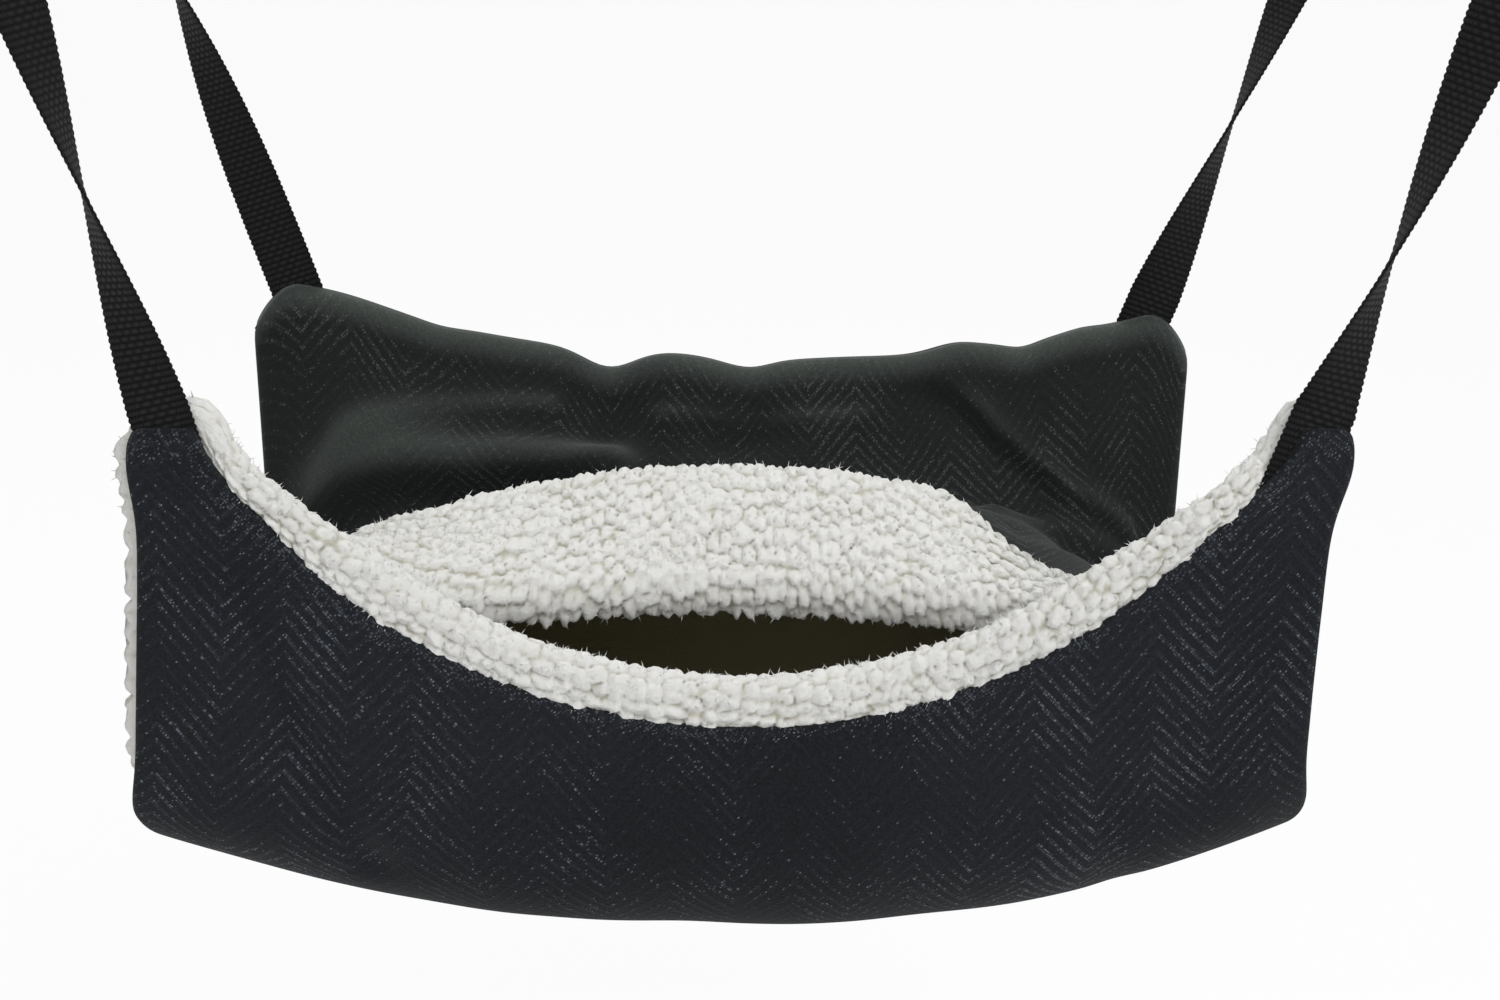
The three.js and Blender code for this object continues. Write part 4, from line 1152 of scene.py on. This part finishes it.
def innerPlace(u, v):
    across = lerp(-0.985, 0.985, u)
    share = lerp(innerCloth["from"], innerCloth["to"], v)
    normal = slingNormal(across, share)
    ripple = 0.6 * noise.noise(Vector((across * 9, share * 14, 2)))
    return (*(slingBase(across, share) + normal * (innerCloth["inset"] + ripple)),)


def innerPiece():
    piece = gridPiece("inner_cloth", innerCloth["columns"], innerCloth["rows"], innerPlace,
                      lambda u, v: (u * 380, v * 230))
    thicken(piece, innerCloth["thickness"], 0)
    finishPiece(piece, looks["inner"], "hammock", "inner_cloth", "floor_lining")
    return piece


innerPiece()
print("inner cloth done")

# ---- straps

strapPlane = sling["depth"] / 2 - wall - fitGap - webbing["thickness"] / 2
corners = [
    {"name": "front_left", "side": -1, "back": False, "edgeOn": 0.48},
    {"name": "front_right", "side": 1, "back": False, "edgeOn": 0.37},
    {"name": "back_left", "side": -1, "back": True, "edgeOn": 0.68},
    {"name": "back_right", "side": 1, "back": True, "edgeOn": 0.44},
]


def cornerFrame(corner):
    side, y = corner["side"], strapPlane if corner["back"] else -strapPlane
    full = edgeHalf(side, y, 0)
    edge = full - (webbing["backInset"] if corner["back"] else webbing["frontInset"])
    z = backRimHeight(side * edge / full) if corner["back"] else 0
    foot = Vector((side * edge, y, z))
    top = Vector((side * webbing["span"] / 2 + (0 if corner["back"] else 2 * hangOffset), y, hangDrop))
    leanTurn = Matrix.Rotation(math.atan2(top.x - foot.x, top.z - foot.z), 3, "Y")
    return foot, top, leanTurn, (top - foot).length - webbing["bearing"]


def strapStations(corner, length):
    # Middle line of the webbing: height, offset through it, its turn and which way its face looks
    ply = webbing["thickness"] / 2 + fitGap / 2
    reach = math.hypot(webbing["eyeBar"], webbing["eyeBar"]) + fitGap + webbing["thickness"] / 2
    neck = length - webbing["loopFlare"]
    merge = neck - webbing["sewnReturn"]
    bend = math.log(0.5) / math.log(corner["edgeOn"])
    turn = corner["side"] * math.pi
    stations = [(0, -webbing["tab"], 0, 1, 0)]
    for k in range(webbing["turnSteps"] + 1):
        share = k / webbing["turnSteps"]
        stations.append((0, lerp(webbing["flat"], merge, share), turn * share ** bend, 1, 0))
    stations.append((-ply, merge + webbing["loopFlare"], turn, 1, 0))
    stations.append((-ply, neck, turn, 1, 0))
    for k in range(webbing["loopSteps"] + 1):
        angle = math.pi * k / webbing["loopSteps"]
        stations.append((-reach * math.cos(angle), length + reach * math.sin(angle), turn,
                         math.cos(angle), -math.sin(angle)))
    stations.append((ply, neck, turn, -1, 0))
    stations.append((ply, merge + webbing["loopFlare"], turn, -1, 0))
    return stations, runsAlong(math.hypot(b[0] - a[0], b[1] - a[1]) for a, b in zip(stations, stations[1:]))


def strapPiece(corner):
    foot, _, leanTurn, length = cornerFrame(corner)
    stations, runs = strapStations(corner, length)
    rows = int(runs[-1] / webbing["step"])
    halfW, halfT = webbing["width"] / 2, webbing["thickness"] / 2

    def place(u, v):
        goal = v * runs[-1]
        k = 0
        while k < len(runs) - 2 and runs[k + 1] < goal:
            k += 1
        s = clamp((goal - runs[k]) / (runs[k + 1] - runs[k]))
        y, z, turn, ny, nz = (lerp(a, b, s) for a, b in zip(stations[k], stations[k + 1]))
        across = Vector((math.cos(turn), math.sin(turn), 0))
        through = Vector((-math.sin(turn) * ny, math.cos(turn) * ny, nz)).normalized()
        middle = Vector((-math.sin(turn) * y, math.cos(turn) * y, z))
        rib = abs(math.sin(math.pi * goal / webbing["rib"]))
        # Section: a flat loop with round edges
        angle = 2 * math.pi * u
        sx, sy = math.cos(angle), math.sin(angle)
        flatX = math.copysign(abs(sx) ** 0.35, sx) * (halfW - 0.35 + 0.45 * rib)
        flatY = math.copysign(abs(sy) ** 0.45, sy) * halfT * (0.62 + 0.38 * rib)
        return (*(foot + leanTurn @ (middle + across * flatX + through * flatY)),)

    def uv(u, v):
        return (abs(u - 0.5) * 40, v * runs[-1])

    piece = gridPiece("strap_webbing_" + corner["name"], 28, rows, place, uv, closed=True)
    closePiece(piece)
    return finishPiece(piece, looks["webbing"], "hammock", "webbing", "strap_" + corner["name"])


def stitchPiece(name, stitches, radius, look):
    # Short thread stitches, each a small rounded bar lying on the cloth
    bm = bmesh.new()
    for start, end, normal in stitches:
        start, end = toRow(start), toRow(end)
        along = end - start
        middle = (start + end) / 2 + normal * radius * 0.35
        turn = along.normalized().to_track_quat("Z", "Y").to_matrix().to_4x4()
        stretch = Matrix.Diagonal((1, 1, along.length / radius / 2, 1))
        bmesh.ops.create_icosphere(bm, subdivisions=1, radius=radius,
                                   matrix=Matrix.Translation(middle) @ turn @ stretch)
    mesh = meshFrom(name, bm)
    mesh.shade_smooth()
    return finishPiece(linked(name, mesh), look, "hammock", "webbing")


stitching = {"inset": 3, "pitch": 2.4, "gap": 0.12, "radius": 0.00036}


def strapStitches(corner):
    # A box with a cross, sewn through both plies of the return
    foot, _, leanTurn, length = cornerFrame(corner)
    neck = length - webbing["loopFlare"] - 1.5
    low = neck - webbing["sewnReturn"] + webbing["loopFlare"] + 3
    turn = corner["side"] * math.pi
    reach = webbing["thickness"] + fitGap / 2 + 0.1
    right = webbing["width"] / 2 - stitching["inset"]
    left = -right
    lines = [((left, low), (right, low)), ((right, low), (right, neck)), ((right, neck), (left, neck)),
             ((left, neck), (left, low)), ((left, low), (right, neck)), ((right, low), (left, neck))]
    stitches = []
    for face in (-1, 1):
        for (ax, az), (bx, bz) in lines:
            count = max(3, round(math.hypot(bx - ax, bz - az) / stitching["pitch"]))
            for k in range(count):
                ends = []
                for s in ((k + stitching["gap"]) / count, (k + 1 - stitching["gap"]) / count):
                    local = Vector((lerp(ax, bx, s) * math.cos(turn), face * reach, lerp(az, bz, s)))
                    ends.append(foot + leanTurn @ local)
                stitches.append((*ends, leanTurn @ Vector((0, face, 0))))
    name = "strap_stitches_" + corner["name"]
    return stitchPiece(name, stitches, stitching["radius"], looks["blackThread"])


for corner in corners:
    strapPiece(corner)
    strapStitches(corner)
print("straps done")

# ---- metal

for name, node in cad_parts.items():
    if name.startswith(("swivel_eye", "snap_body", "snap_bolt", "bolt_knob")):
        node.data.materials.clear()
        node.data.materials.append(looks["nickel"])

# The bolt springs, each a coil at its resting length. In the real snap the coil is pressed together when its
# bolt is drawn back.
spring = {"wire": 0.7, "radius": 1.7, "turns": 5, "floor": 14.2, "end": 25.8, "axisX": 8.5, "travel": 6.5}


def springPiece(corner):
    _, top, leanTurn, _ = cornerFrame(corner)
    bar = top - leanTurn @ Vector((0, 0, webbing["bearing"]))
    reach = spring["wire"] / 2 + fitGap
    low, high = spring["floor"] + reach, spring["end"] - reach

    def place(u, v):
        angle, around = 2 * math.pi * spring["turns"] * u, 2 * math.pi * v
        radius = spring["radius"] + spring["wire"] / 2 * math.cos(around)
        local = Vector((spring["axisX"] + radius * math.cos(angle), radius * math.sin(angle),
                        lerp(low, high, u) + spring["wire"] / 2 * math.sin(around)))
        return (*(bar + leanTurn @ local),)

    name = corner["name"]
    piece = gridPiece("bolt_coil_" + name, 150, 10, place, closed=True)
    closePiece(piece)
    finishPiece(piece, looks["spring"], "snap_" + name, "spring_steel", "bolt_spring_" + name)
    anchor = toRow(bar + leanTurn @ Vector((spring["axisX"], 0, spring["floor"])))
    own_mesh(piece)


for corner in corners:
    springPiece(corner)
print("metal and springs done")

# ---- floor, world and lamps

studio = {
    "floorZ": -0.63, "floorSize": 120, "floorColour": (240, 240, 240), "floorWhite": 0.93, "world": 0.44,
}
lamps = {
    "keyLamp": {"place": (0.75, -0.9, 0.75), "aim": (0, 0, -0.38), "power": 11.4, "size": 0.9},
    "fillLamp": {"place": (-0.35, -1.3, 0.2), "aim": (0, 0, -0.38), "power": 3.0, "size": 1.0},
    "backLamp": {"place": (-0.2, 0.9, 1.0), "aim": (0, 0, -0.35), "power": 10.0, "size": 0.8},
}


def addFloor():
    bm = bmesh.new()
    bmesh.ops.create_grid(bm, x_segments=1, y_segments=1, size=studio["floorSize"] / 2,
                          matrix=Matrix.Translation((0, 0, studio["floorZ"])))
    floor = linked("floor", meshFrom("floor", bm))
    look = Look("floorPaint", Roughness=0.9, Base_Color=linear(studio["floorColour"]))
    path = look.nodes.new("ShaderNodeLightPath")
    seen = Wire(look, path.outputs["Is Camera Ray"]) + Wire(look, path.outputs["Is Glossy Ray"]) \
        + Wire(look, path.outputs["Is Transmission Ray"])
    glow = look.node("ShaderNodeEmission", {}, {"Color": (1, 1, 1, 1), "Strength": 1.0})
    mixed = look.nodes.new("ShaderNodeMixShader")
    look.links.new((seen.clamp() * studio["floorWhite"]).socket, mixed.inputs[0])
    look.links.new(look.shader.outputs[0], mixed.inputs[1])
    look.links.new(glow.socket, mixed.inputs[2])
    look.links.new(mixed.outputs[0], look.nodes["Material Output"].inputs["Surface"])
    floor.data.materials.append(look.material)


def addWorld():
    world = bpy.data.worlds.new("studio")
    bpy.context.scene.world = world
    world.use_nodes = True
    nodes, links = world.node_tree.nodes, world.node_tree.links
    plain = nodes["Background"]
    plain.inputs["Color"].default_value = (1, 1, 1, 1)
    plain.inputs["Strength"].default_value = studio["world"]
    white = nodes.new("ShaderNodeBackground")
    white.inputs["Color"].default_value = (1, 1, 1, 1)
    path = nodes.new("ShaderNodeLightPath")
    mixed = nodes.new("ShaderNodeMixShader")
    links.new(path.outputs["Is Camera Ray"], mixed.inputs[0])
    links.new(plain.outputs[0], mixed.inputs[1])
    links.new(white.outputs[0], mixed.inputs[2])
    links.new(mixed.outputs[0], nodes["World Output"].inputs["Surface"])


def addLamp(name, place, aim, power, size):
    data = bpy.data.lights.new(name, "AREA")
    data.shape = "SQUARE"
    data.size = size
    data.energy = power
    lamp = linked(name, data)
    lamp.location = place
    lamp.rotation_euler = (Vector(aim) - Vector(place)).to_track_quat("-Z", "Y").to_euler()


addFloor()
addWorld()
for name, lamp in lamps.items():
    addLamp(name, **lamp)
bpy.context.scene.view_settings.view_transform = "Standard"
print("studio done")
